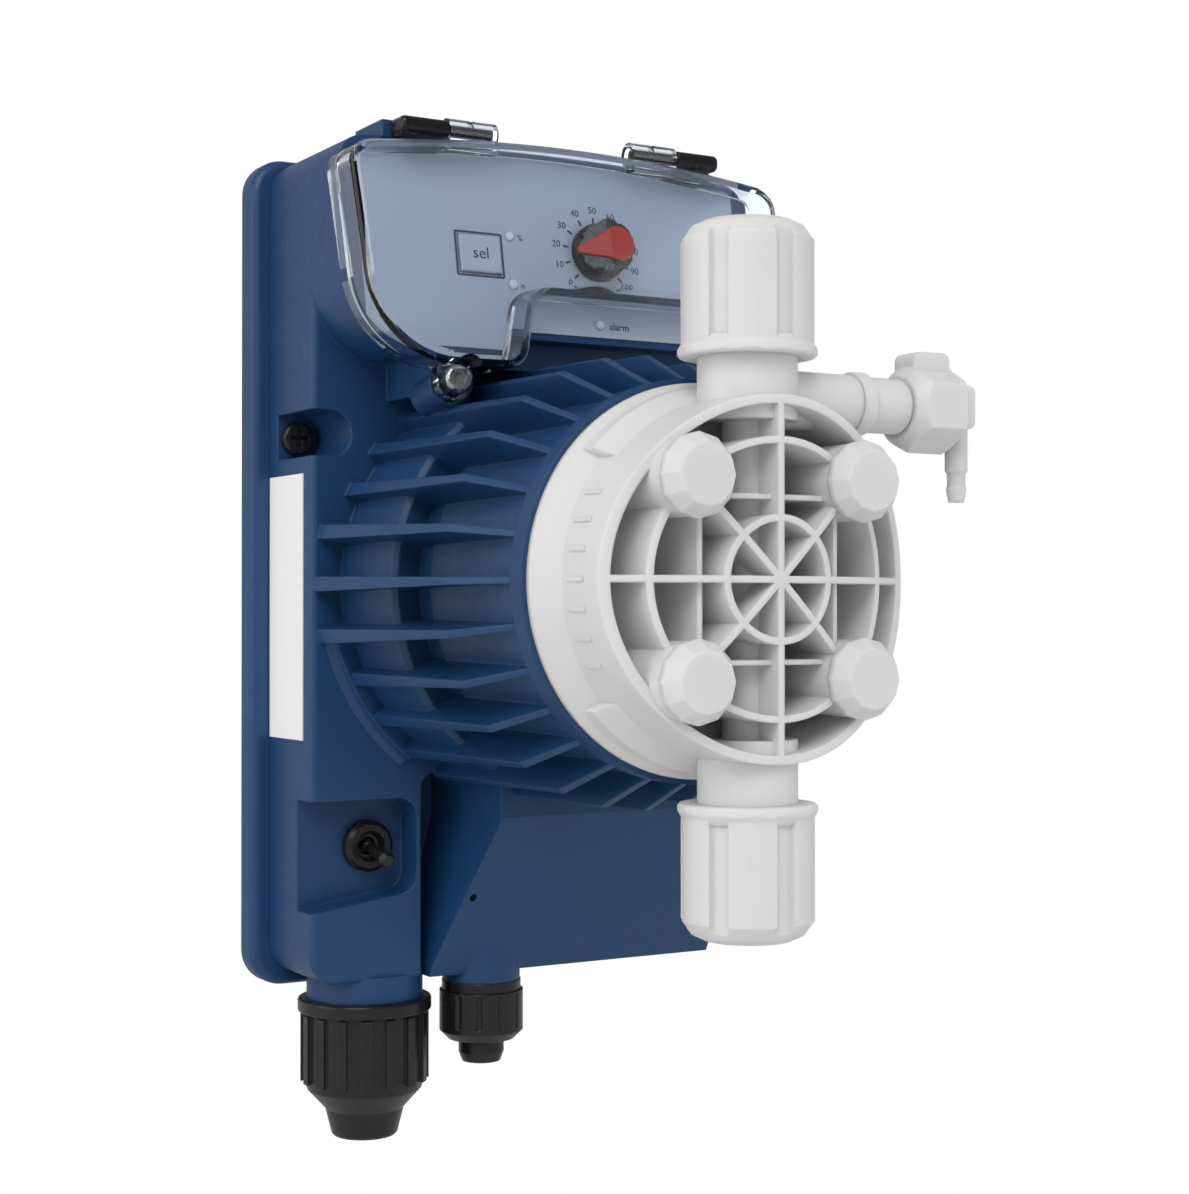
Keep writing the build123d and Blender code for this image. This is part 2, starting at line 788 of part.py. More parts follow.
def make_clear_cover():
    shell = prism(door_outline(), -30, -110) & panel_slab(-door_overlap, door_depth)
    front_face = shell.faces().sort_by(Axis((0, 0, 0), (0, -cos(tilt), sin(tilt))))[-1]
    shell = fillet(front_face.edges(), door_edge_round)
    shell -= prism(door_outline(door_wall), -20, -120) & panel_slab(-door_overlap - 20, door_depth - door_wall)
    behind = panel_slab(-door_overlap - 20, door_clearance)
    shell -= prism(deck_outline(-door_clearance), -20, -120) & behind
    top_gap = panel_slab(-door_overlap - 20, 1.4)
    shell -= top_gap & block(-half_body - 0.4, half_body + 0.4, 0, -90, 92.0, 120.0)
    ear_height = door_clearance / 2 + cover_ear_thickness / 2
    ear = on_panel(cover_screw_x, cover_screw_z, ear_height) * Cylinder(cover_ear_radius, cover_ear_thickness)
    ear += on_panel(cover_screw_x, cover_screw_z + 3.0, ear_height) * Box(
        2 * cover_ear_radius, 6.0, cover_ear_thickness)
    shell += ear
    seat = door_clearance / 2 + cover_ear_thickness
    shell -= on_panel(cover_screw_x, cover_screw_z, seat + 10.0) * Cylinder(cover_screw_head_radius + 0.5, 20.0)
    shell -= on_panel(cover_screw_x, cover_screw_z, 0.3 - 10.0) * Cylinder(cover_boss_radius + 0.6, 20.0)
    shell -= panel_slab(-20, -0.5) & block(cover_screw_x - 4.8, cover_screw_x + 4.8, -45, -75, 44.0, 54.0)
    shell -= on_panel(cover_screw_x, cover_screw_z, 0) * Cylinder(cover_screw_shank_radius + 0.15, 12.0)
    for side in (-1, 1):
        x0, x1 = sorted((side * hinge_knuckle_inner_x, side * hinge_knuckle_outer_x))
        knuckle = rod_x(hinge_knuckle_radius, x0, x1, hinge_y, hinge_z)
        knuckle += block(x0, x1, hinge_y + 1.6, hinge_y - 2.6, hinge_z - 5.0, hinge_z)
        middle = (x0 + x1) / 2
        knuckle -= block(middle - 0.6, middle + 0.6, hinge_y + 4, hinge_y - 4, hinge_z + 1.9, hinge_z + 5)
        shell += knuckle
        shell -= rod_x(3.8, *sorted((side * (hinge_knuckle_outer_x + 0.1), side * (hinge_block_outer_x + 0.5))),
                       hinge_y, hinge_z)
        shell -= rod_x(hinge_pin_radius + hinge_running_gap, x0 - 0.1, x1 + 0.1, hinge_y, hinge_z)
    return shell


def hinge_tongue(side, grow=0.0):
    """Tongue of the hinge block that clips into the lug behind it."""
    x0 = side * (hinge_block_inner_x + 3.0 - grow)
    x1 = side * (hinge_block_outer_x - 3.0 + grow)
    return block(x0, x1, hinge_lug_front + 8.0 + grow, hinge_lug_front - 1, hinge_z - 1.2 - grow,
                 hinge_z + 1.2 + grow)


def make_hinge_block(side):
    x0, x1 = sorted((side * hinge_block_inner_x, side * hinge_block_outer_x))
    front = hinge_y - hinge_block_depth / 2
    solid = block(x0, x1, hinge_lug_front, front, hinge_z - 2.1, hinge_z + 2.1)
    solid = fillet(solid.edges().filter_by(Axis.X).group_by(Axis.Y)[0], 1.6)
    outer_face = solid.faces().sort_by(Axis.X)[-1 if side > 0 else 0]
    solid = fillet(outer_face.edges().filter_by(Axis.Z), 1.2)
    solid += hinge_tongue(side)
    pin = sorted((side * (hinge_knuckle_inner_x + 1.0), side * (hinge_block_inner_x + 1.0)))
    return solid + rod_x(hinge_pin_radius, pin[0], pin[1], hinge_y, hinge_z)


def make_cover_screw():
    """Captive screw that holds the clear cover shut."""
    seat = door_clearance / 2 + cover_ear_thickness
    place = on_panel(cover_screw_x, cover_screw_z)
    head = place * Pos(0, 0, seat + cover_screw_head_height / 2) * Cylinder(
        cover_screw_head_radius, cover_screw_head_height)
    crown = head.faces().sort_by(Axis((0, 0, 0), (0, -cos(tilt), sin(tilt))))[-1]
    head = fillet(crown.edges(), 1.0)
    shank = place * Pos(0, 0, (seat - 5.0) / 2) * Cylinder(cover_screw_shank_radius, seat + 5.0)
    socket = RegularPolygon(1.5, 6)
    recess = extrude(place * Pos(0, 0, seat + cover_screw_head_height - 1.5) * socket, amount=3.0)
    return head + shank - recess


def make_cover_screw_insert():
    """Black threaded insert in the post under the deck."""
    middle = -door_clearance - cover_insert_length / 2
    place = on_panel(cover_screw_x, cover_screw_z, middle)
    return place * Cylinder(cover_insert_radius, cover_insert_length) - place * Cylinder(
        cover_insert_bore, cover_insert_length + 1.0)


# ---- control panel fittings

def make_panel_film():
    film = prism(deck_outline(film_inset), -20, -110) & panel_slab(0, film_thickness)
    film -= on_panel(cover_screw_x, cover_screw_z) * Cylinder(cover_ear_radius + 1.0, 12.0)
    return film - panel_holes()


def make_select_key():
    height = wall + film_thickness + key_stand + 2.0
    key = on_panel(key_x, key_z, film_thickness + key_stand - height / 2) * Box(key_width, key_height, height)
    crown = key.faces().sort_by(Axis((0, 0, 0), (0, -cos(tilt), sin(tilt))))[-1]
    key = fillet(crown.edges(), 0.5)
    flange = on_panel(key_x, key_z, -wall - key_travel - 0.9) * Box(key_width + 3.0, key_height + 3.0, 1.0)
    return key + flange


def make_key_switch():
    """Push switch on the board behind the key."""
    top = -wall - 2 * key_travel - 2.0
    base = -board_setback
    place = on_panel(key_x, key_z, (top + base) / 2)
    return place * Box(7.0, 7.0, top - base)


def make_status_lights():
    lights = []
    for x, z in led_places:
        pipe = on_panel(x, z, film_thickness + 0.7 - led_length / 2) * Cylinder(led_radius, led_length)
        crown = pipe.faces().sort_by(Axis((0, 0, 0), (0, -cos(tilt), sin(tilt))))[-1]
        lights.append(fillet(crown.edges(), 0.6))
    return lights


def knob_slope(lift=0.0):
    """Space above the grip: flat behind the middle, then sloping down towards the nose."""
    foot = film_thickness + 0.4
    low = foot + knob_skirt_height + lift
    side = Plane.XZ * make_face(Polyline(
        (-20, knob_height + lift), (knob_flat_end, knob_height + lift), (knob_skirt_radius, low), (20, low),
        (20, 40), (-20, 40), close=True))
    return on_panel(knob_x, knob_z) * (Rot(0, 0, knob_rest_angle) * extrude(side, amount=20, both=True))


def make_knob_body():
    """Low skirt with a fluted grip, cut to a slope on its nose side."""
    foot = film_thickness + 0.4
    skirt = on_panel(knob_x, knob_z, foot + knob_skirt_height / 2) * Cylinder(knob_skirt_radius, knob_skirt_height)
    grip_height = knob_height - foot
    grip = on_panel(knob_x, knob_z, foot + grip_height / 2) * Cylinder(knob_grip_radius, grip_height)
    for step in range(8):
        flute = Rot(0, 0, 22.5 + 45.0 * step) * Pos(knob_grip_radius + 0.7, 0, 0) * Cylinder(1.2, 20.0)
        grip -= on_panel(knob_x, knob_z, foot + knob_skirt_height + 10.0) * flute
    knob = skirt + (grip - knob_slope())
    return knob - on_panel(knob_x, knob_z, foot) * Cylinder(knob_shaft_radius, 5.0)


def make_knob_pointer():
    """Red teardrop lying on the grip: round on the flat, its nose running down the slope."""
    half_nose = 0.7
    nose = make_face(Polyline(
        (-pointer_setback + 0.8, pointer_round * 0.96), (pointer_length, half_nose),
        (pointer_length, -half_nose), (-pointer_setback + 0.8, -pointer_round * 0.96), close=True))
    outline = Pos(-pointer_setback, 0) * Circle(pointer_round) + nose
    foot = film_thickness + 0.4
    column = extrude(outline, amount=20.0)
    column = on_panel(knob_x, knob_z, foot + knob_skirt_height) * (Rot(0, 0, knob_rest_angle) * column)
    return (column & knob_slope()) - knob_slope(pointer_height)


def make_pot_shaft():
    foot = film_thickness + 0.4
    top, base = foot + 2.4, -board_setback + 3.0
    return on_panel(knob_x, knob_z, (top + base) / 2) * Cylinder(knob_shaft_radius, top - base)


def make_potentiometer():
    base, top = -board_setback, -wall - 3.0
    body = on_panel(knob_x, knob_z, (base + top) / 2) * Box(13.0, 13.0, top - base)
    return body - on_panel(knob_x, knob_z, base + 12.8) * Cylinder(knob_shaft_radius + 0.1, 20.0)


def make_control_board():
    height = (board_high_z - board_low_z) / cos(tilt)
    middle = (board_low_z + board_high_z) / 2
    board = on_panel(0, middle, -board_setback - board_thickness / 2) * Box(board_width, height, board_thickness)
    transformer = on_panel(26.0, middle, -board_setback - board_thickness - 6.0) * Box(22.0, 18.0, 12.0)
    terminals = on_panel(-24.0, middle - 8, -board_setback - board_thickness - 4.0) * Box(30.0, 8.0, 8.0)
    return board + transformer + terminals


def make_side_label():
    return block(-half_body - label_thickness, -half_body, label_back, label_front, label_bottom, label_top)


# ---- toggle switch

def make_switch_body():
    back = pocket_floor + wall
    body = block(switch_x - 6.5, switch_x + 6.5, -9.0, back, switch_z - 4.0, switch_z + 4.0)
    body += rod_y(switch_bushing_radius, back, pocket_floor - 1.2, switch_x, switch_z)
    bore = turned_y([(0, -30.0), (2.9, -30.0), (1.9, switch_pivot_y + 2.6), (0, switch_pivot_y + 2.6)],
                    switch_x, switch_z)
    return body - bore


def make_switch_nut():
    front = pocket_floor - switch_nut_height
    profile = [
        (switch_bushing_radius, pocket_floor), (switch_nut_radius, pocket_floor),
        (switch_nut_radius, front + 1.0), (switch_nut_radius - 1.0, front), (3.9, front),
        (switch_bushing_radius, pocket_floor - 1.2),
    ]
    return turned_y(profile, switch_x, switch_z)


def make_switch_lever():
    """Bat lever on a ball, leaning down at rest."""
    ball = Sphere(1.7)
    tip = -switch_lever_length
    shank = revolve(make_face(Polyline((0, 0), (1.1, 0), (1.5, tip + 5), (2.1, tip + 1.2), (1.3, tip), (0, tip),
                                       close=True)), axis=Axis.Y)
    place = Pos(switch_x, switch_pivot_y, switch_z) * Rot(switch_rest_tilt, 0, 0)
    return place * (ball + shank)


# ---- solenoid drive

def make_solenoid_yoke():
    can = rod_y(yoke_radius, yoke_back, yoke_front)
    can -= rod_y(yoke_radius - yoke_wall, yoke_back - yoke_rear_plate, yoke_front + yoke_front_plate)
    can -= rod_y(plunger_radius + 0.4, 0, -60)
    return can - rod_y(pole_radius, -90, yoke_front - 1)


def make_solenoid_coil():
    outer = yoke_radius - yoke_wall - coil_clearance
    back, front = yoke_back - yoke_rear_plate, yoke_front + yoke_front_plate
    profile = [
        (coil_inner_radius, back), (outer, back), (outer, back - 2), (outer - 2.5, back - 2),
        (outer - 2.5, front + 2), (outer, front + 2), (outer, front), (coil_inner_radius, front),
    ]
    return turned_y(profile)


def make_solenoid_pole():
    pole = rod_y(pole_radius, pole_back, yoke_front)
    pole -= rod_y(rod_radius + 0.3, 0, -130)
    return pole - rod_y(spring_outer_radius + 0.3, pole_back + 1, pole_back - spring_seat_depth)


def make_plunger():
    body = rod_y(plunger_radius, plunger_back, pole_back + stroke_gap)
    return body - rod_y(rod_radius, pole_back + 14.0, pole_back)


def make_push_rod():
    return rod_y(rod_radius, pole_back + 14.0, diaphragm_hub_back - 5.0)


def make_return_spring():
    """Coil spring between the plunger and the pole's counterbore."""
    length = spring_seat_depth + stroke_gap
    wire = 0.9
    radius = (spring_outer_radius + spring_inner_radius) / 2
    turns = []
    for step in range(4):
        y = pole_back + stroke_gap - wire - (length - 2 * wire) * step / 3
        turns.append(Pos(0, y, 0) * Rot(90, 0, 0) * Torus(radius, wire))
    tie = rod_y(wire * 0.8, pole_back + stroke_gap - wire, pole_back + stroke_gap + wire - length, radius, 0)
    spring = tie
    for turn in turns:
        spring += turn
    return spring


def make_plunger_stop():
    disc = rod_y(22.0, yoke_back + 2.5, yoke_back)
    return disc + rod_y(10.0, yoke_back + 0.5, plunger_back)


# ---- diaphragm and backing ring

def make_backing_ring():
    back = barrel_front + recess_depth
    ring = rod_y(recess_radius - 0.2, back, back - backing_thickness)
    ring -= rod_y(backing_bore, 0, -130)
    for x, z in bolt_places:
        ring -= rod_y(bolt_radius + 0.4, 0, -130, x, z)
    return ring


def make_diaphragm():
    front = barrel_front
    back = front + diaphragm_thickness
    web_back = front + diaphragm_web
    profile = [
        (0, diaphragm_hub_back), (diaphragm_hub_radius, diaphragm_hub_back), (diaphragm_hub_radius, web_back),
        (24.0, web_back), (24.0, back), (diaphragm_radius, back), (diaphragm_radius, front), (0, front),
    ]
    disc = turned_y(profile)
    disc -= rod_y(rod_radius, -100, diaphragm_hub_back - 5.0)
    for x, z in bolt_places:
        disc -= rod_y(bolt_radius + 0.4, -100, -130, x, z)
    return disc


# ---- pump head

def head_front_form(setback=0.0):
    """Cylinder with a vertical axis whose front side gives the head's curved face."""
    return rod_z(head_front_curve - setback, -120, 120, 0, head_front + head_front_curve)


def head_ribs():
    """Ribs behind the curved face: cross, diagonals, hub ring and ring through the bolts."""
    depth_back, depth_front = head_floor + 1, head_front - 5
    ribs = prism(Rectangle(head_rib, 2 * head_rim_radius), depth_back, depth_front)
    ribs += prism(Rectangle(2 * head_rim_radius, head_rib), depth_back, depth_front)
    diagonal = Rectangle(2 * bolt_half * 1.4142, head_rib)
    for angle in (45, 135):
        ribs += prism(Rot(0, 0, angle) * diagonal, depth_back, depth_front)
    for radius in (head_hub_ring, head_mid_ring):
        ring = Circle(radius + head_rib / 2) - Circle(radius - head_rib / 2)
        ribs += prism(ring, depth_back, depth_front)
    return ribs & head_front_form()


def head_thin_ribs():
    """Thin square of ribs, set back from the curved face."""
    outer = 2 * head_thin_rib_offset + head_thin_rib
    square = Rectangle(outer, outer) - Rectangle(outer - 2 * head_thin_rib, outer - 2 * head_thin_rib)
    return prism(square, head_floor + 1, head_front - 5) & head_front_form(head_thin_rib_setback)


def head_wedges():
    """Raised shoulders above and below, where the ports leave the side wall."""
    ring = turned_y([
        (head_rim_radius - 1, head_shoulder_y + 6), (shoulder_wedge_radius, head_shoulder_y + 5.5),
        (shoulder_wedge_radius, head_shoulder_y), (head_rim_radius - 1, shoulder_wedge_front)])
    sector = make_face(Polyline((0, 0), (-60, 52), (60, 52), close=True))
    lower = make_face(Polyline((0, 0), (-60, -52), (60, -52), close=True))
    return (ring & prism(sector, -100, -150)) + (ring & prism(lower, -100, -150))


def head_ticks():
    """Short grip marks on both sides of the rim's wall."""
    ticks = Part()
    for side in (-1, 1):
        for step in range(tick_count):
            angle = (step - (tick_count - 1) / 2) * tick_pitch / head_rim_radius
            degrees_turned = angle * 57.2958
            tick = block(side * (head_rim_radius - 1), side * (head_rim_radius + 0.9), tick_back, tick_front,
                         -tick_width / 2, tick_width / 2)
            ticks += Rot(0, degrees_turned, 0) * tick
    return ticks


def make_pump_head():
    outer = turned_y([
        (0, barrel_front), (head_flange_radius, barrel_front), (head_flange_radius, barrel_front - head_flange_edge),
        (head_shoulder_radius, head_shoulder_y), (head_rim_radius, head_front), (0, head_front)])
    head = outer + head_wedges() + head_ticks()
    head &= head_front_form()
    head -= rod_y(head_rim_radius - head_rim_wall, head_floor, head_front - 5)
    inside = head_ribs() + head_thin_ribs()
    inside &= rod_y(head_rim_radius - 0.5, head_floor + 2, head_front - 5)
    head += inside
    for x, z in bolt_places:
        head += rod_y(bolt_boss_radius, head_floor + 1, bolt_boss_front, x, z)
    head += rod_z(channel_tube_radius, -head_rim_radius + 0.5, head_rim_radius - 0.5, 0, port_y)
    for side in (-1, 1):
        head += rod_y(channel_tube_radius, head_floor + 1, port_y, 0, side * channel_offset)
        head += rod_z(spigot_radius, *sorted((side * (head_rim_radius - 5), side * spigot_end)), 0, port_y)
    head += rod_x(bleed_boss_radius, 2.0, bleed_boss_end, port_y, bleed_z)
    return head - head_passages()


def head_passages():
    """Chamber dish, flow channels, valve bores, bolt holes and bleed passage."""
    cuts = rod_y(dish_radius, barrel_front + 1, barrel_front - dish_depth)
    for side in (-1, 1):
        z = side * channel_offset
        cuts += rod_y(channel_bore, barrel_front, port_y, 0, z)
        cuts += rod_z(channel_bore, *sorted((z, side * (valve_floor + 1))), 0, port_y)
        cuts += rod_z(valve_bore, *sorted((side * valve_floor, side * (spigot_end + 1))), 0, port_y)
    for x, z in bolt_places:
        cuts += rod_y(bolt_radius + 0.3, barrel_front + 1, bolt_seat - 1, x, z)
        cuts += rod_y(bolt_counterbore, bolt_seat, bolt_boss_front - 1, x, z)
    cuts += rod_x(bleed_bore, 0, bleed_boss_end + 1, port_y, bleed_z - 2.5)
    cuts += rod_x(bleed_stem_radius + 2.2, bleed_boss_end - 9.0, bleed_boss_end + 1, port_y, bleed_z)
    return cuts


def make_head_bolts():
    bolts = []
    for x, z in bolt_places:
        seat = bolt_seat - washer_thickness
        bolt = rod_y(bolt_head_radius, seat, seat - bolt_head_height, x, z)
        bolt += rod_y(bolt_radius, bolt_end, seat, x, z)
        socket = Pos(x, z) * RegularPolygon(2.2, 6)
        bolts.append(bolt - prism(socket, seat - bolt_head_height + 2.5, seat - bolt_head_height - 1))
    return bolts


def make_head_washers():
    washers = []
    for x, z in bolt_places:
        ring = rod_y(washer_radius, bolt_seat, bolt_seat - washer_thickness, x, z)
        washers.append(ring - rod_y(bolt_radius + 0.3, 0, -160, x, z))
    return washers


def make_bolt_caps():
    """Faceted caps: a polygon that narrows to a flat face, with a plug behind."""
    caps = []
    edge = bolt_boss_front - 1.6
    front = bolt_boss_front - bolt_cap_height
    for x, z in bolt_places:
        base = Pos(x, z) * RegularPolygon(bolt_cap_radius, bolt_cap_facets)
        face = Pos(x, z) * RegularPolygon(bolt_cap_face_radius, bolt_cap_facets)
        plane = Plane(origin=(0, edge, 0), x_dir=(1, 0, 0), z_dir=(0, -1, 0))
        top = Plane(origin=(0, front, 0), x_dir=(1, 0, 0), z_dir=(0, -1, 0))
        cap = prism(base, bolt_boss_front, edge) + loft([plane * base, top * face])
        cap += rod_y(bolt_counterbore - 0.1, bolt_boss_front + 2.4, bolt_boss_front - 0.5, x, z)
        caps.append(cap - rod_y(bolt_counterbore - 1.4, bolt_boss_front + 3, bolt_boss_front - 1.4, x, z))
    return caps


# ---- check valves, nipples and union nuts

def make_valve_cartridge(base):
    """Valve cage: seat below, ball above it, open ribs at the top."""
    height = spigot_end - valve_floor
    outer = valve_bore - cartridge_gap
    cage = rod_z(outer, base, base + height, 0, port_y)
    cage -= rod_z(cartridge_bore, base + seat_height, base + height + 1, 0, port_y)
    cage -= rod_z(seat_bore + 1.6, base - 1, base + seat_height + 1, 0, port_y)
    stop = ball_centre(base) + ball_radius + ball_lift
    spider = block(-outer + 1, outer - 1, port_y - 0.7, port_y + 0.7, stop, stop + 3.0)
    spider += block(-0.7, 0.7, port_y - outer + 1, port_y + outer - 1, stop, stop + 3.0)
    return cage + spider


def make_valve_seat(base):
    seat = rod_z(seat_bore + 1.55, base, base + seat_height, 0, port_y)
    return seat - rod_z(seat_bore, base - 1, base + seat_height + 1, 0, port_y)


def ball_centre(base):
    """Height at which the ball rests on the edge of its seat."""
    return base + seat_height + (ball_radius ** 2 - seat_bore ** 2) ** 0.5 + 0.02


def make_valve_ball(base):
    return Pos(0, port_y, ball_centre(base)) * Sphere(ball_radius)


def make_nipple(side):
    """Hose nipple: flange on the spigot's end and a cone for the hose."""
    end = nut_end - nut_top_wall - 1.0
    foot = spigot_end + seal_height
    flange_top = foot + nipple_flange_height
    points = [
        (nipple_bore, foot), (nipple_flange_radius, foot), (nipple_flange_radius, flange_top),
        (nipple_radius + 1.2, flange_top), (nipple_radius + 1.2, flange_top + 4), (nipple_radius, end),
        (nipple_bore, end),
    ]
    return turned_z([(radius, side * z) for radius, z in points], 0, port_y)


def make_seal_ring(side):
    """Flat seal between the spigot's end and the nipple."""
    low, high = spigot_end, spigot_end + seal_height
    ring = rod_z(seal_outer_radius, *sorted((side * low, side * high)), 0, port_y)
    return ring - rod_z(seal_inner_radius, *sorted((side * (low - 1), side * (high + 1))), 0, port_y)


def nut_section(radius, groove):
    """Round section with wide lobes and shallow grooves between them."""
    section = Circle(radius)
    share = 360.0 / nut_lobes
    groove_angle = share * (1 - nut_lobe_share)
    width = 2 * radius * sin(radians(groove_angle / 2))
    for step in range(nut_lobes):
        cut = Pos(groove + (radius - groove) / 2 + 0.5, 0) * RectangleRounded(radius - groove + 1.0, width, 0.45)
        section -= Rot(0, 0, share * (step + 0.5)) * cut
    return section


def make_union_nut(side):
    """Union nut with lobes, a flared lip towards the head and a chamfered end."""
    low, high = nut_lip, nut_end
    shoulder = high - nut_chamfer
    lobes = extrude(nut_section(nut_radius, nut_groove_radius), amount=high - low - nut_lip_height)
    lobes = Pos(0, 0, low + nut_lip_height) * lobes
    crown = turned_z([
        (0, low), (nut_lip_radius, low), (nut_lip_radius, shoulder), (nut_top_radius + 2.6, high - 1.2),
        (nut_top_radius, high), (0, high)], 0, 0)
    nut = lobes & crown
    lip = turned_z([
        (0, low), (nut_lip_radius - 0.5, low), (nut_lip_radius, low + 0.5), (nut_lip_radius, low + 1.6),
        (nut_radius - 0.6, low + nut_lip_height + 1.2), (0, low + nut_lip_height + 1.2)], 0, 0)
    octagon = extrude(RegularPolygon(nut_lip_radius + 0.35, 12), amount=10.0)
    nut += lip & (Pos(0, 0, low - 1) * octagon)
    nut -= Pos(0, 0, (low + high - nut_top_wall - 1) / 2 - 0.5) * Cylinder(nut_bore, high - nut_top_wall - low + 1)
    nut -= Pos(0, 0, high) * Cylinder(nut_hose_bore, 20.0)
    if side < 0:
        nut = Rot(180, 0, 0) * nut
    return Pos(0, port_y, 0) * nut


# ---- bleed valve

def make_bleed_body():
    """Body screwed into the head, with a hexagon collar."""
    profile = [
        (bleed_boss_end - 8.0, 0), (bleed_boss_end - 8.0, bleed_stem_radius + 2.15),
        (bleed_boss_end, bleed_stem_radius + 2.15), (bleed_boss_end, bleed_collar_radius - 0.4),
        (bleed_boss_end + 0.4, bleed_collar_radius), (bleed_collar_end - 0.4, bleed_collar_radius),
        (bleed_collar_end, bleed_collar_radius - 0.4), (bleed_collar_end, bleed_body_radius),
        (bleed_body_end, bleed_body_radius), (bleed_body_end, 0),
    ]
    body = turned_x(profile, port_y, bleed_z)
    return body - rod_x(bleed_stem_radius, bleed_boss_end - 9, bleed_body_end + 1, port_y, bleed_z)


def make_bleed_stem():
    """Fixed stem with the elbow and hose barb that points down."""
    stem = rod_x(bleed_stem_radius, bleed_boss_end - 6.0, bleed_elbow_start + 1.0, port_y, bleed_z)
    middle_x = (bleed_elbow_start + bleed_elbow_end) / 2
    half_x = (bleed_elbow_end - bleed_elbow_start) / 2
    elbow = block(bleed_elbow_start, bleed_elbow_end, port_y - half_x, port_y + half_x,
                  bleed_z - bleed_elbow_half, bleed_z + bleed_elbow_half + 1.4)
    elbow = fillet(elbow.edges().filter_by(Axis.Y).group_by(Axis.X)[-1], 1.6)
    elbow = fillet(elbow.edges().filter_by(Axis.Z), 0.8)
    barb = turned_z([
        (0, bleed_z - bleed_elbow_half + 0.5), (bleed_barb_radius, bleed_z - bleed_elbow_half + 0.5),
        (bleed_barb_radius, bleed_barb_step), (bleed_barb_tip_radius, bleed_barb_step - 0.8),
        (bleed_barb_tip_radius, bleed_barb_bottom + 3.6), (bleed_barb_tip_radius + 0.25, bleed_barb_bottom + 3.2),
        (bleed_barb_tip_radius - 0.3, bleed_barb_bottom), (0, bleed_barb_bottom)], middle_x, port_y)
    solid = stem + elbow + barb
    solid -= rod_z(bleed_bore, bleed_barb_bottom - 1, bleed_z, middle_x, port_y)
    return solid - rod_x(bleed_bore, bleed_boss_end - 7, middle_x, port_y, bleed_z)


def make_bleed_knob():
    """Hexagon knob with a finger wing on top, free to turn on the stem."""
    length = bleed_knob_end - bleed_knob_start
    side_plane = Plane(origin=(bleed_knob_start, port_y, bleed_z), x_dir=(0, 1, 0), z_dir=(1, 0, 0))
    knob = extrude(side_plane * (Rot(0, 0, 30) * RegularPolygon(bleed_knob_radius, 6)), amount=length)
    cone = turned_x([
        (bleed_knob_start, 0), (bleed_knob_start, 7.2), (bleed_knob_start + 3.4, bleed_knob_radius + 0.2),
        (bleed_knob_end - 1.0, bleed_knob_radius + 0.2), (bleed_knob_end, bleed_knob_radius - 0.8),
        (bleed_knob_end, 0)], port_y, bleed_z)
    knob &= cone
    wing = block(bleed_knob_start + 2.2, bleed_knob_end - 1.2, port_y - bleed_wing_width / 2,
                 port_y + bleed_wing_width / 2, bleed_z, bleed_z + bleed_wing_height)
    wing = fillet(wing.edges().filter_by(Axis.Y).group_by(Axis.Z)[-1], 2.0)
    knob += wing
    return knob - rod_x(bleed_stem_radius + 0.08, bleed_knob_start - 1, bleed_knob_end + 1, port_y, bleed_z)


# ---- cable glands

def make_gland_body():
    top = gland_collar_bottom + gland_thread_length
    flange_low = gland_collar_bottom - gland_flange_height
    body = rod_z(gland_thread_radius, gland_collar_bottom, top, gland_x, gland_y)
    flange = rod_z(gland_flange_radius, flange_low, gland_collar_bottom, gland_x, gland_y)
    body += fillet(flange.edges(), 0.6)
    body += rod_z(gland_nut_radius - 3.0, gland_nut_bottom + 6.0, flange_low, gland_x, gland_y)
    return body - rod_z(gland_bore + 1.5, gland_nut_bottom, top + 1, gland_x, gland_y)


def make_gland_seal():
    """Rubber seal between the body and the nut's cone."""
    top = gland_nut_bottom + 6.0
    seal = rod_z(gland_nut_radius - 4.6, gland_nut_bottom + 0.4, top, gland_x, gland_y)
    return seal - rod_z(gland_bore, gland_nut_bottom - 1, top + 1, gland_x, gland_y)


def make_gland_nut():
    """Ribbed nut that narrows to a tapered outlet."""
    top = gland_collar_bottom - gland_flange_height
    outer = turned_z([
        (0, top), (gland_nut_radius - 0.9, top), (gland_nut_radius - 0.9, gland_nut_bottom + 1.2),
        (gland_cone_radius, gland_nut_bottom - 1.6), (gland_cone_low_radius, gland_cone_bottom),
        (gland_end_radius, gland_end + 0.6), (gland_end_radius - 0.6, gland_end), (0, gland_end)],
        gland_x, gland_y)
    for step in range(gland_nut_ribs):
        rib = Pos(gland_nut_radius - 1.3, 0, (top + gland_nut_bottom) / 2) * Box(
            2.6, 2.5, top - gland_nut_bottom - 1.0)
        outer += Pos(gland_x, gland_y, 0) * Rot(0, 0, 360.0 / gland_nut_ribs * step) * rib
    outer -= rod_z(gland_nut_radius - 2.9, gland_nut_bottom + 0.4, top + 1, gland_x, gland_y)
    return outer - rod_z(gland_bore, gland_end - 1, top + 1, gland_x, gland_y)


def make_signal_gland_body():
    top = signal_collar_bottom + 9.0
    low = signal_nut_bottom + 4.0
    body = rod_z(signal_thread_radius, low, top, signal_x, signal_y)
    body += rod_z(signal_nut_radius - 0.6, signal_collar_bottom - 2.6, signal_collar_bottom, signal_x, signal_y)
    return body - rod_z(signal_bore + 1.0, low - 1, top + 1, signal_x, signal_y)


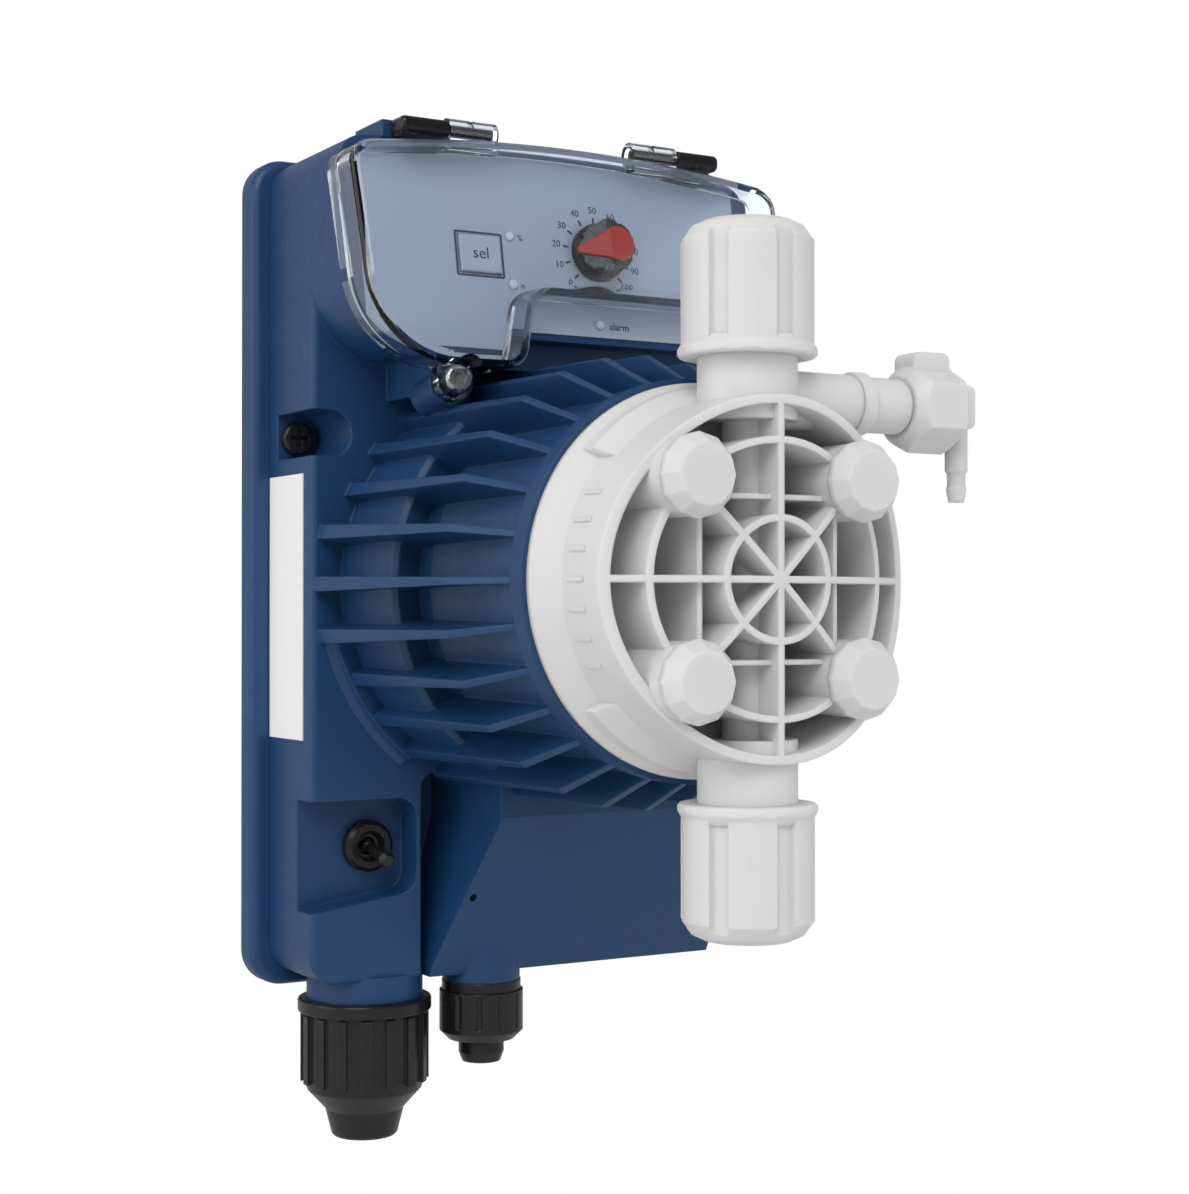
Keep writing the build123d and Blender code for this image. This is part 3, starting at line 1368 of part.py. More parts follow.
def make_signal_gland_nut():
    top = signal_collar_bottom - 2.6
    outer = turned_z([
        (0, top), (signal_nut_radius, top), (signal_nut_radius, signal_nut_bottom + 2.2),
        (signal_nut_radius - 2.2, signal_nut_bottom), (signal_end_radius, signal_nut_bottom),
        (signal_end_radius, signal_end + 2.4), (signal_end_radius - 0.9, signal_end), (0, signal_end)],
        signal_x, signal_y)
    for step in range(12):
        flute = Pos(signal_nut_radius + 0.35, 0, (top + signal_nut_bottom) / 2 + 1.5) * Cylinder(
            0.9, top - signal_nut_bottom - 4.0)
        outer -= Pos(signal_x, signal_y, 0) * Rot(0, 0, 30.0 * step) * flute
    outer -= rod_z(signal_thread_radius + 0.05, signal_nut_bottom + 4.0, top + 1, signal_x, signal_y)
    return outer - rod_z(signal_bore, signal_end - 1, top + 1, signal_x, signal_y)


# ---- all nodes

def all_nodes():
    upper, lower = valve_floor, -spigot_end
    return {
        "wall_bracket": make_wall_bracket(),
        "rear_cover": make_rear_cover(),
        "housing_gasket": gasket_ring(),
        "rear_cover_screws": make_rear_cover_screws(),
        "case_screws": make_case_screws(),
        "front_housing": make_front_housing(),
        "side_label": make_side_label(),
        "panel_film": make_panel_film(),
        "select_key": make_select_key(),
        "key_switch": make_key_switch(),
        "status_lights": make_status_lights(),
        "knob_body": make_knob_body(),
        "knob_pointer": make_knob_pointer(),
        "pot_shaft": make_pot_shaft(),
        "potentiometer": make_potentiometer(),
        "control_board": make_control_board(),
        "clear_cover": make_clear_cover(),
        "cover_screw": make_cover_screw(),
        "cover_screw_insert": make_cover_screw_insert(),
        "hinge_block_left": make_hinge_block(-1),
        "hinge_block_right": make_hinge_block(1),
        "switch_body": make_switch_body(),
        "switch_nut": make_switch_nut(),
        "switch_lever": make_switch_lever(),
        "solenoid_yoke": make_solenoid_yoke(),
        "solenoid_coil": make_solenoid_coil(),
        "solenoid_pole": make_solenoid_pole(),
        "plunger": make_plunger(),
        "push_rod": make_push_rod(),
        "return_spring": make_return_spring(),
        "plunger_stop": make_plunger_stop(),
        "backing_ring": make_backing_ring(),
        "diaphragm": make_diaphragm(),
        "pump_head": make_pump_head(),
        "head_bolts": make_head_bolts(),
        "head_washers": make_head_washers(),
        "bolt_caps": make_bolt_caps(),
        "discharge_cartridge": make_valve_cartridge(upper),
        "discharge_seat": make_valve_seat(upper),
        "discharge_ball": make_valve_ball(upper),
        "discharge_seal": make_seal_ring(1),
        "discharge_nipple": make_nipple(1),
        "union_nut_top": make_union_nut(1),
        "suction_cartridge": make_valve_cartridge(lower),
        "suction_seat": make_valve_seat(lower),
        "suction_ball": make_valve_ball(lower),
        "suction_seal": make_seal_ring(-1),
        "suction_nipple": make_nipple(-1),
        "union_nut_bottom": make_union_nut(-1),
        "bleed_body": make_bleed_body(),
        "bleed_stem": make_bleed_stem(),
        "bleed_knob": make_bleed_knob(),
        "gland_body": make_gland_body(),
        "gland_seal": make_gland_seal(),
        "gland_nut": make_gland_nut(),
        "signal_gland_body": make_signal_gland_body(),
        "signal_gland_nut": make_signal_gland_nut(),
    }


os.makedirs("parts", exist_ok=True)
for name, shape in all_nodes().items():
    solid = Compound(children=shape) if isinstance(shape, list) else shape
    export_step(solid, f"parts/{name}.step")
    print(name)
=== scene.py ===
import bpy
import bmesh
import json
import math
from mathutils import Matrix, Vector


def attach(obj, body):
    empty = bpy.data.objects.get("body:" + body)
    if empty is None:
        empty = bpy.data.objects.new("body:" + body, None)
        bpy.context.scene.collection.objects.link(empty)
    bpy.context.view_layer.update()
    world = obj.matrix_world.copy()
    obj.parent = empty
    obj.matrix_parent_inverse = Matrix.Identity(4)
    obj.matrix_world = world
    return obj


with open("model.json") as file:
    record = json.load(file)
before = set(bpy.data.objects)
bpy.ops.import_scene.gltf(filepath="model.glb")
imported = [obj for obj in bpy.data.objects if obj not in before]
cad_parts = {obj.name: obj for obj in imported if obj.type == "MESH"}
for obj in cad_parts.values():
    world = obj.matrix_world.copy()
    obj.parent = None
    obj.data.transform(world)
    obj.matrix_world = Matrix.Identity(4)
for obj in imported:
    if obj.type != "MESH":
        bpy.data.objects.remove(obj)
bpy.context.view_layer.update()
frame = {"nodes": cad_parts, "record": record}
print("frame loaded")

mm = 0.001

# shader groups shared by several materials


def newGroup(name, inputs, outputs):
    group = bpy.data.node_groups.new(name, "ShaderNodeTree")
    for label, kind, value in inputs:
        socket = group.interface.new_socket(name=label, in_out="INPUT", socket_type=kind)
        socket.default_value = value
    for label, kind in outputs:
        group.interface.new_socket(name=label, in_out="OUTPUT", socket_type=kind)
    return group, group.nodes.new("NodeGroupInput"), group.nodes.new("NodeGroupOutput")


def join(tree, fromSocket, toSocket):
    tree.links.new(fromSocket, toSocket)


def mathNode(tree, operation, first, second=None, clamp=False):
    node = tree.nodes.new("ShaderNodeMath")
    node.operation = operation
    node.use_clamp = clamp
    for slotIndex, value in enumerate((first, second)):
        if value is None:
            continue
        if isinstance(value, (int, float)):
            node.inputs[slotIndex].default_value = value
        else:
            join(tree, value, node.inputs[slotIndex])
    return node.outputs[0]


def mixColors(tree, amount, first, second):
    node = tree.nodes.new("ShaderNodeMix")
    node.data_type = "RGBA"
    for slotIndex, value in ((0, amount), (6, first), (7, second)):  # factor and the two colour sockets
        if isinstance(value, (int, float, tuple)):
            node.inputs[slotIndex].default_value = value
        else:
            join(tree, value, node.inputs[slotIndex])
    return node.outputs[2]


softEdgeLook = {"samples": 4, "gain": 4.0}


def buildSoftEdges():
    # rounded look on hard moulded edges, and a mask of where they are
    group, start, end = newGroup(
        "softEdges",
        [("Radius", "NodeSocketFloat", 0.0006)],
        [("Mask", "NodeSocketFloat"), ("Normal", "NodeSocketVector")],
    )
    bevel = group.nodes.new("ShaderNodeBevel")
    bevel.samples = softEdgeLook["samples"]
    join(group, start.outputs["Radius"], bevel.inputs["Radius"])
    surface = group.nodes.new("ShaderNodeNewGeometry")
    dot = group.nodes.new("ShaderNodeVectorMath")
    dot.operation = "DOT_PRODUCT"
    join(group, bevel.outputs["Normal"], dot.inputs[0])
    join(group, surface.outputs["Normal"], dot.inputs[1])
    lost = mathNode(group, "SUBTRACT", 1.0, dot.outputs["Value"])
    mask = mathNode(group, "MULTIPLY", lost, softEdgeLook["gain"], clamp=True)
    join(group, mask, end.inputs["Mask"])
    join(group, bevel.outputs["Normal"], end.inputs["Normal"])
    return group


skinLook = {
    "broadScale": 28, "broadDetail": 4, "broadGain": 1.6, "grainDetail": 2, "fleck": 0.12,
    "scuffScale": 160, "scuffDetail": 6, "scuffTwist": 1.4, "scuffFrom": 0.55,
    "grainShine": 0.08, "pitDepth": 0.6,
}


def buildMouldedSkin():
    # fine spark-eroded grain with broad, faint colour drift and small scuffs
    group, start, end = newGroup(
        "mouldedSkin",
        [
            ("Color", "NodeSocketColor", (0.5, 0.5, 0.5, 1)),
            ("Drift", "NodeSocketColor", (0.4, 0.4, 0.4, 1)),
            ("Grain Scale", "NodeSocketFloat", 2500.0),
            ("Roughness", "NodeSocketFloat", 0.4),
            ("Scuffs", "NodeSocketFloat", 0.3),
        ],
        [("Color", "NodeSocketColor"), ("Roughness", "NodeSocketFloat"), ("Height", "NodeSocketFloat")],
    )
    place = group.nodes.new("ShaderNodeTexCoord")
    broad = group.nodes.new("ShaderNodeTexNoise")
    broad.inputs["Scale"].default_value = skinLook["broadScale"]
    broad.inputs["Detail"].default_value = skinLook["broadDetail"]
    grain = group.nodes.new("ShaderNodeTexNoise")
    grain.inputs["Detail"].default_value = skinLook["grainDetail"]
    pits = group.nodes.new("ShaderNodeTexVoronoi")
    scuff = group.nodes.new("ShaderNodeTexNoise")
    scuff.inputs["Scale"].default_value = skinLook["scuffScale"]
    scuff.inputs["Detail"].default_value = skinLook["scuffDetail"]
    scuff.inputs["Distortion"].default_value = skinLook["scuffTwist"]
    for texture in (broad, grain, pits, scuff):
        join(group, place.outputs["Object"], texture.inputs["Vector"])
    join(group, start.outputs["Grain Scale"], grain.inputs["Scale"])
    join(group, start.outputs["Grain Scale"], pits.inputs["Scale"])
    broadMask = mathNode(group, "MULTIPLY", broad.outputs["Fac"], skinLook["broadGain"], clamp=True)
    tinted = mixColors(group, broadMask, start.outputs["Color"], start.outputs["Drift"])
    fleck = mathNode(group, "MULTIPLY", grain.outputs["Fac"], skinLook["fleck"])
    flecked = mixColors(group, fleck, tinted, start.outputs["Drift"])
    join(group, flecked, end.inputs["Color"])
    scuffMask = mathNode(group, "SUBTRACT", scuff.outputs["Fac"], skinLook["scuffFrom"])
    scuffMask = mathNode(group, "MULTIPLY", scuffMask, start.outputs["Scuffs"])
    rough = mathNode(group, "ADD", start.outputs["Roughness"], scuffMask)
    grainShift = mathNode(group, "MULTIPLY", grain.outputs["Fac"], skinLook["grainShine"])
    rough = mathNode(group, "ADD", rough, grainShift)
    join(group, rough, end.inputs["Roughness"])
    pitShift = mathNode(group, "MULTIPLY", pits.outputs["Distance"], skinLook["pitDepth"])
    height = mathNode(group, "ADD", grain.outputs["Fac"], pitShift)
    join(group, height, end.inputs["Height"])
    return group


turnedLook = {
    "twist": 3, "detail": 3, "cloudScale": 300, "spread": 0.18,
    "shade": 0.35, "shadeColor": (0.2, 0.2, 0.21, 1),
}


def buildTurnedMetal():
    # fine circular tool marks and a little uneven polish
    group, start, end = newGroup(
        "turnedMetal",
        [
            ("Color", "NodeSocketColor", (0.6, 0.6, 0.6, 1)),
            ("Roughness", "NodeSocketFloat", 0.25),
            ("Lines", "NodeSocketFloat", 900.0),
        ],
        [("Color", "NodeSocketColor"), ("Roughness", "NodeSocketFloat"), ("Height", "NodeSocketFloat")],
    )
    place = group.nodes.new("ShaderNodeTexCoord")
    wave = group.nodes.new("ShaderNodeTexWave")
    wave.bands_direction = "Y"
    wave.inputs["Distortion"].default_value = turnedLook["twist"]
    wave.inputs["Detail"].default_value = turnedLook["detail"]
    cloud = group.nodes.new("ShaderNodeTexNoise")
    cloud.inputs["Scale"].default_value = turnedLook["cloudScale"]
    join(group, place.outputs["Object"], wave.inputs["Vector"])
    join(group, place.outputs["Object"], cloud.inputs["Vector"])
    join(group, start.outputs["Lines"], wave.inputs["Scale"])
    shade = mathNode(group, "MULTIPLY", cloud.outputs["Fac"], turnedLook["shade"])
    shaded = mixColors(group, shade, start.outputs["Color"], turnedLook["shadeColor"])
    join(group, shaded, end.inputs["Color"])
    spread = mathNode(group, "MULTIPLY", cloud.outputs["Fac"], turnedLook["spread"])
    join(group, mathNode(group, "ADD", start.outputs["Roughness"], spread), end.inputs["Roughness"])
    join(group, wave.outputs["Fac"], end.inputs["Height"])
    return group


softEdges = buildSoftEdges()
mouldedSkin = buildMouldedSkin()
turnedMetal = buildTurnedMetal()
print("shader groups built")


def emptyMaterial(name):
    material = bpy.data.materials.new(name)
    material.use_nodes = True
    tree = material.node_tree
    for node in list(tree.nodes):
        tree.nodes.remove(node)
    shader = tree.nodes.new("ShaderNodeBsdfPrincipled")
    result = tree.nodes.new("ShaderNodeOutputMaterial")
    join(tree, shader.outputs["BSDF"], result.inputs["Surface"])
    return material, tree, shader


def placeGroup(tree, group, values):
    node = tree.nodes.new("ShaderNodeGroup")
    node.node_tree = group
    for label, value in values.items():
        node.inputs[label].default_value = value
    return node


bumpReach = {"plastic": 0.0001, "metal": 0.00005, "clear": 0.0002}
milkyDepth = 0.004


def mouldedPlastic(name, look):
    # a moulded plastic: grain, colour drift, and paler edges that are partly wear and partly painted
    # highlight
    material, tree, shader = emptyMaterial(name)
    skin = placeGroup(tree, mouldedSkin, {
        "Color": look["color"], "Drift": look["drift"], "Grain Scale": look["grain"],
        "Roughness": look["roughness"], "Scuffs": look["scuffs"]})
    edges = placeGroup(tree, softEdges, {"Radius": look["edge"]})
    # painted highlight: the edge mask lightens the colour along edges, partly as wear and partly standing in
    # for edge highlights
    amount = mathNode(tree, "MULTIPLY", edges.outputs["Mask"], look["edgeWearAndHighlightAmount"])
    color = mixColors(tree, amount, skin.outputs["Color"], look["edgeWearAndHighlight"])
    join(tree, color, shader.inputs["Base Color"])
    join(tree, skin.outputs["Roughness"], shader.inputs["Roughness"])
    bump = tree.nodes.new("ShaderNodeBump")
    bump.inputs["Strength"].default_value = look["bump"]
    bump.inputs["Distance"].default_value = bumpReach["plastic"]
    join(tree, skin.outputs["Height"], bump.inputs["Height"])
    join(tree, edges.outputs["Normal"], bump.inputs["Normal"])
    join(tree, bump.outputs["Normal"], shader.inputs["Normal"])
    shader.inputs["IOR"].default_value = look["ior"]
    shader.inputs["Subsurface Weight"].default_value = look.get("milky", 0.0)
    shader.inputs["Subsurface Scale"].default_value = milkyDepth
    shader.inputs["Subsurface Radius"].default_value = (1.0, 1.0, 1.0)
    return material


def metal(name, look):
    material, tree, shader = emptyMaterial(name)
    marks = placeGroup(tree, turnedMetal, {
        "Color": look["color"], "Roughness": look["roughness"], "Lines": look["lines"]})
    edges = placeGroup(tree, softEdges, {"Radius": look["edge"]})
    join(tree, marks.outputs["Color"], shader.inputs["Base Color"])
    join(tree, marks.outputs["Roughness"], shader.inputs["Roughness"])
    shader.inputs["Metallic"].default_value = look["metallic"]
    bump = tree.nodes.new("ShaderNodeBump")
    bump.inputs["Strength"].default_value = look["bump"]
    bump.inputs["Distance"].default_value = bumpReach["metal"]
    join(tree, marks.outputs["Height"], bump.inputs["Height"])
    join(tree, edges.outputs["Normal"], bump.inputs["Normal"])
    join(tree, bump.outputs["Normal"], shader.inputs["Normal"])
    return material


def clearPlastic(name, look):
    material, tree, shader = emptyMaterial(name)
    place = tree.nodes.new("ShaderNodeTexCoord")
    haze = tree.nodes.new("ShaderNodeTexNoise")
    haze.inputs["Scale"].default_value = look["hazeScale"]
    haze.inputs["Detail"].default_value = look["hazeDetail"]
    join(tree, place.outputs["Object"], haze.inputs["Vector"])
    rough = mathNode(tree, "MULTIPLY", haze.outputs["Fac"], look["haze"])
    join(tree, rough, shader.inputs["Roughness"])
    ripple = tree.nodes.new("ShaderNodeTexNoise")
    ripple.inputs["Scale"].default_value = look["rippleScale"]
    join(tree, place.outputs["Object"], ripple.inputs["Vector"])
    tint = mixColors(tree, ripple.outputs["Fac"], look["color"], look["drift"])
    along = tree.nodes.new("ShaderNodeVectorMath")
    along.operation = "DOT_PRODUCT"
    along.inputs[1].default_value = look["outward"]
    join(tree, place.outputs["Normal"], along.inputs[0])
    facing = mathNode(tree, "ABSOLUTE", along.outputs["Value"])
    # painted shade: walls that stand on the panel are coloured darker, standing in for how they look darker
    # seen edge-on
    wallShadeMask = mathNode(tree, "SUBTRACT", look["wallFrom"], facing)
    wallShadeMask = mathNode(tree, "MULTIPLY", wallShadeMask, look["wallSlope"], clamp=True)
    join(tree, mixColors(tree, wallShadeMask, tint, look["wall"]), shader.inputs["Base Color"])
    bump = tree.nodes.new("ShaderNodeBump")
    bump.inputs["Strength"].default_value = look["bump"]
    bump.inputs["Distance"].default_value = bumpReach["clear"]
    join(tree, ripple.outputs["Fac"], bump.inputs["Height"])
    join(tree, bump.outputs["Normal"], shader.inputs["Normal"])
    shader.inputs["Transmission Weight"].default_value = 1.0
    shader.inputs["IOR"].default_value = look["ior"]
    return material


# the edge colour of each look lightens its edges: partly wear, partly painted highlight
plasticLooks = {
    "blueHousing": {
        "color": (0.009, 0.056, 0.158, 1), "drift": (0.007, 0.047, 0.138, 1), "edgeWearAndHighlight": (0.070, 0.14, 0.26, 1),
        "grain": 2600.0, "roughness": 0.40, "scuffs": 0.25,
        "edge": 0.0008, "edgeWearAndHighlightAmount": 0.30, "bump": 0.10, "ior": 1.5},
    "blackNylon": {
        "color": (0.006, 0.006, 0.007, 1), "drift": (0.012, 0.012, 0.013, 1), "edgeWearAndHighlight": (0.08, 0.08, 0.084, 1),
        "grain": 2200.0, "roughness": 0.26, "scuffs": 0.3,
        "edge": 0.0005, "edgeWearAndHighlightAmount": 0.4, "bump": 0.12, "ior": 1.5},
    "whiteHead": {
        "color": (0.70, 0.70, 0.695, 1), "drift": (0.66, 0.66, 0.655, 1), "edgeWearAndHighlight": (0.80, 0.80, 0.80, 1),
        "grain": 1800.0, "roughness": 0.36, "scuffs": 0.2,
        "edge": 0.0007, "edgeWearAndHighlightAmount": 0.3, "bump": 0.06, "ior": 1.46,
        "milky": 0.45},
    "panelFilm": {
        "color": (0.41, 0.47, 0.57, 1), "drift": (0.37, 0.43, 0.53, 1), "edgeWearAndHighlight": (0.5, 0.56, 0.66, 1),
        "grain": 3500.0, "roughness": 0.42, "scuffs": 0.15,
        "edge": 0.0003, "edgeWearAndHighlightAmount": 0.2, "bump": 0.05, "ior": 1.45},
    "redGloss": {
        "color": (0.56, 0.014, 0.009, 1), "drift": (0.44, 0.016, 0.010, 1), "edgeWearAndHighlight": (0.66, 0.08, 0.05, 1),
        "grain": 3000.0, "roughness": 0.28, "scuffs": 0.15,
        "edge": 0.0006, "edgeWearAndHighlightAmount": 0.3, "bump": 0.04, "ior": 1.4},
    "greyKey": {
        "color": (0.44, 0.50, 0.60, 1), "drift": (0.41, 0.47, 0.57, 1), "edgeWearAndHighlight": (0.55, 0.60, 0.68, 1),
        "grain": 3500.0, "roughness": 0.45, "scuffs": 0.1,
        "edge": 0.0005, "edgeWearAndHighlightAmount": 0.3, "bump": 0.05, "ior": 1.45},
    "paleLens": {
        "color": (0.66, 0.70, 0.78, 1), "drift": (0.58, 0.62, 0.72, 1), "edgeWearAndHighlight": (0.8, 0.82, 0.88, 1),
        "grain": 900.0, "roughness": 0.15, "scuffs": 0.1,
        "edge": 0.0004, "edgeWearAndHighlightAmount": 0.2, "bump": 0.02, "ior": 1.5},
    "whiteLabel": {
        "color": (0.86, 0.85, 0.84, 1), "drift": (0.83, 0.82, 0.81, 1), "edgeWearAndHighlight": (0.75, 0.75, 0.75, 1),
        "grain": 4200.0, "roughness": 0.55, "scuffs": 0.2,
        "edge": 0.0003, "edgeWearAndHighlightAmount": 0.2, "bump": 0.05, "ior": 1.45},
    "blackRubber": {
        "color": (0.016, 0.016, 0.017, 1), "drift": (0.028, 0.028, 0.028, 1), "edgeWearAndHighlight": (0.06, 0.06, 0.06, 1),
        "grain": 1500.0, "roughness": 0.68, "scuffs": 0.3,
        "edge": 0.0005, "edgeWearAndHighlightAmount": 0.2, "bump": 0.2, "ior": 1.45},
    "whiteSheet": {
        "color": (0.78, 0.78, 0.75, 1), "drift": (0.70, 0.70, 0.67, 1), "edgeWearAndHighlight": (0.82, 0.82, 0.8, 1),
        "grain": 1200.0, "roughness": 0.5, "scuffs": 0.2,
        "edge": 0.0004, "edgeWearAndHighlightAmount": 0.2, "bump": 0.06, "ior": 1.38},
    "ceramicBall": {
        "color": (0.84, 0.82, 0.76, 1), "drift": (0.80, 0.78, 0.72, 1), "edgeWearAndHighlight": (0.88, 0.86, 0.8, 1),
        "grain": 4000.0, "roughness": 0.12, "scuffs": 0.05,
        "edge": 0.0003, "edgeWearAndHighlightAmount": 0.1, "bump": 0.01, "ior": 1.7},
    "greenBoard": {
        "color": (0.012, 0.09, 0.035, 1), "drift": (0.010, 0.075, 0.03, 1), "edgeWearAndHighlight": (0.3, 0.28, 0.15, 1),
        "grain": 1400.0, "roughness": 0.38, "scuffs": 0.2,
        "edge": 0.0004, "edgeWearAndHighlightAmount": 0.4, "bump": 0.1, "ior": 1.5},
    "copperWinding": {
        "color": (0.30, 0.085, 0.030, 1), "drift": (0.22, 0.06, 0.02, 1), "edgeWearAndHighlight": (0.4, 0.15, 0.07, 1),
        "grain": 1900.0, "roughness": 0.4, "scuffs": 0.3,
        "edge": 0.0005, "edgeWearAndHighlightAmount": 0.3, "bump": 0.2, "ior": 1.5},
    "darkPrint": {
        "color": (0.022, 0.026, 0.055, 1), "drift": (0.03, 0.035, 0.07, 1), "edgeWearAndHighlight": (0.05, 0.055, 0.1, 1),
        "grain": 5000.0, "roughness": 0.5, "scuffs": 0.1,
        "edge": 0.0001, "edgeWearAndHighlightAmount": 0.1, "bump": 0.02, "ior": 1.45},
}
metalLooks = {
    "brightScrew": {
        "color": (0.62, 0.62, 0.63, 1), "roughness": 0.16, "lines": 900.0, "edge": 0.0004, "bump": 0.15,
        "metallic": 1.0},
    "darkIron": {
        "color": (0.20, 0.20, 0.21, 1), "roughness": 0.34, "lines": 500.0, "edge": 0.0006, "bump": 0.25,
        "metallic": 1.0},
}
# the wall colour is painted shade on the cover's side walls
clearLook = {
    "color": (0.93, 0.955, 0.99, 1), "drift": (0.90, 0.94, 0.985, 1), "bump": 0.05, "ior": 1.45,
    "haze": 0.06, "hazeScale": 90, "hazeDetail": 5, "rippleScale": 35,
    "wall": (0.78, 0.84, 0.92, 1), "wallFrom": 0.6, "wallSlope": 2.5, "outward": (0.0, -0.983, 0.182),
}

materials = {name: mouldedPlastic(name, look) for name, look in plasticLooks.items()}
materials.update({name: metal(name, look) for name, look in metalLooks.items()})
materials["clearCover"] = clearPlastic("clearCover", clearLook)


def printBorder(material, look):
    # upright bands in the housing's colour at both sides of the panel film
    tree = material.node_tree
    shader = next(node for node in tree.nodes if node.type == "BSDF_PRINCIPLED")
    plain = shader.inputs["Base Color"].links[0].from_socket
    place = tree.nodes.new("ShaderNodeTexCoord")
    split = tree.nodes.new("ShaderNodeSeparateXYZ")
    join(tree, place.outputs["Object"], split.inputs["Vector"])
    aside = mathNode(tree, "ABSOLUTE", split.outputs["X"])
    band = mathNode(tree, "GREATER_THAN", aside, look["from"] * mm)
    join(tree, mixColors(tree, band, plain, look["color"]), shader.inputs["Base Color"])


filmBorder = {"from": 53.0, "color": (0.009, 0.050, 0.145, 1)}
printBorder(materials["panelFilm"], filmBorder)
print("materials built")


finishOfSlot = {
    "blue_housing": "blueHousing", "black_plastic": "blackNylon", "white_head": "whiteHead",
    "clear_plastic": "clearCover", "panel_film": "panelFilm", "red_plastic": "redGloss",
    "key_grey": "greyKey", "light_pipe": "paleLens", "bright_steel": "brightScrew",
    "dark_steel": "darkIron", "winding": "copperWinding",
    "board": "greenBoard", "rubber": "blackRubber", "ptfe": "whiteSheet", "ceramic": "ceramicBall",
    "white_label": "whiteLabel",
}
slotOfNode = {part["node"]: part["material_slot"] for part in frame["record"]["subparts"]}
for nodeName, nodeObject in frame["nodes"].items():
    finish = materials[finishOfSlot[slotOfNode[nodeName]]]
    if not nodeObject.material_slots:
        nodeObject.data.materials.append(finish)
    for materialSlot in nodeObject.material_slots:
        materialSlot.material = finish
print("CAD nodes finished")


panelPlace = {"y": -58.0, "z": 60.0, "tilt": 10.5, "filmTop": 0.4}
tilt = math.radians(panelPlace["tilt"])
panelMatrix = Matrix((
    (1, 0, 0, 0),
    (0, math.sin(tilt), -math.cos(tilt), panelPlace["y"] * mm),
    (0, math.cos(tilt), math.sin(tilt), panelPlace["z"] * mm),
    (0, 0, 0, 1),
))


def onPanel(x, z, height=0.0, turn=0.0):
    # place on the panel, x and z as seen from the front, height above its plane, all in millimetres
    alongPanel = (z - panelPlace["z"]) / math.cos(tilt)
    shift = Matrix.Translation((x * mm, alongPanel * mm, height * mm))
    return panelMatrix @ shift @ Matrix.Rotation(turn, 4, "Z")


def finishPiece(name, mesh, body, finish):
    piece = bpy.data.objects.new(name, mesh)
    bpy.context.scene.collection.objects.link(piece)
    mesh.materials.clear()
    mesh.materials.append(materials[finish])
    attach(piece, body)
    return piece


def bmeshPiece(name, bm, body, finish, smooth=False):
    bmesh.ops.remove_doubles(bm, verts=bm.verts, dist=1e-7)
    bmesh.ops.recalc_face_normals(bm, faces=bm.faces)
    for face in bm.faces:
        face.smooth = smooth
    mesh = bpy.data.meshes.new(name)
    bm.to_mesh(mesh)
    bm.free()
    return finishPiece(name, mesh, body, finish)


def addText(bm, words, size, matrix, thickness=0.06):
    # flat lettering, added to a mesh at its place
    curve = bpy.data.curves.new("lettering", "FONT")
    curve.body = words
    curve.size = size * mm
    curve.extrude = thickness * mm / 2
    curve.align_x = "CENTER"
    curve.align_y = "CENTER"
    curve.resolution_u = 3
    holder = bpy.data.objects.new("lettering", curve)
    bpy.context.scene.collection.objects.link(holder)
    bpy.context.view_layer.update()
    mesh = bpy.data.meshes.new_from_object(holder)
    mesh.transform(matrix)
    bm.from_mesh(mesh)
    bpy.data.objects.remove(holder)
    bpy.data.curves.remove(curve)
    bpy.data.meshes.remove(mesh)


dialMarks = {
    "x": 10.0, "z": 82.7, "firstAngle": 225.0, "lastAngle": -45.0, "count": 11,
    "tickInner": 8.0, "tickOuter": 9.6, "tickWidth": 0.5, "thickness": 0.08,
    "numberRadius": 11.5, "numberSize": 2.5,
}


def makeDialMarks():
    bm = bmesh.new()
    top = panelPlace["filmTop"] + dialMarks["thickness"] / 2
    step = (dialMarks["lastAngle"] - dialMarks["firstAngle"]) / (dialMarks["count"] - 1)
    for index in range(dialMarks["count"]):
        angle = math.radians(dialMarks["firstAngle"] + step * index)
        middle = (dialMarks["tickInner"] + dialMarks["tickOuter"]) / 2
        place = onPanel(dialMarks["x"], dialMarks["z"], top, angle)
        length = dialMarks["tickOuter"] - dialMarks["tickInner"]
        size = Matrix.Diagonal((length * mm, dialMarks["tickWidth"] * mm, dialMarks["thickness"] * mm, 1))
        bmesh.ops.create_cube(bm, size=1.0, matrix=place @ Matrix.Translation((middle * mm, 0, 0)) @ size)
        outX = dialMarks["numberRadius"] * math.cos(angle) * mm
        outY = dialMarks["numberRadius"] * math.sin(angle) * mm
        flat = onPanel(dialMarks["x"], dialMarks["z"], top)
        addText(bm, str(index * 10), dialMarks["numberSize"], flat @ Matrix.Translation((outX, outY, 0)))
    return bmeshPiece("dial_marks", bm, "pump", "darkPrint")


keyLegend = {"x": -23.2, "z": 79.8, "top": 1.33, "size": 4.2}


def makeKeyLegend():
    bm = bmesh.new()
    addText(bm, "sel", keyLegend["size"], onPanel(keyLegend["x"], keyLegend["z"], keyLegend["top"]))
    return bmeshPiece("key_legend", bm, "key", "darkPrint")


keyFrame = {"width": 12.6, "height": 11.0, "line": 0.5, "thickness": 0.08}


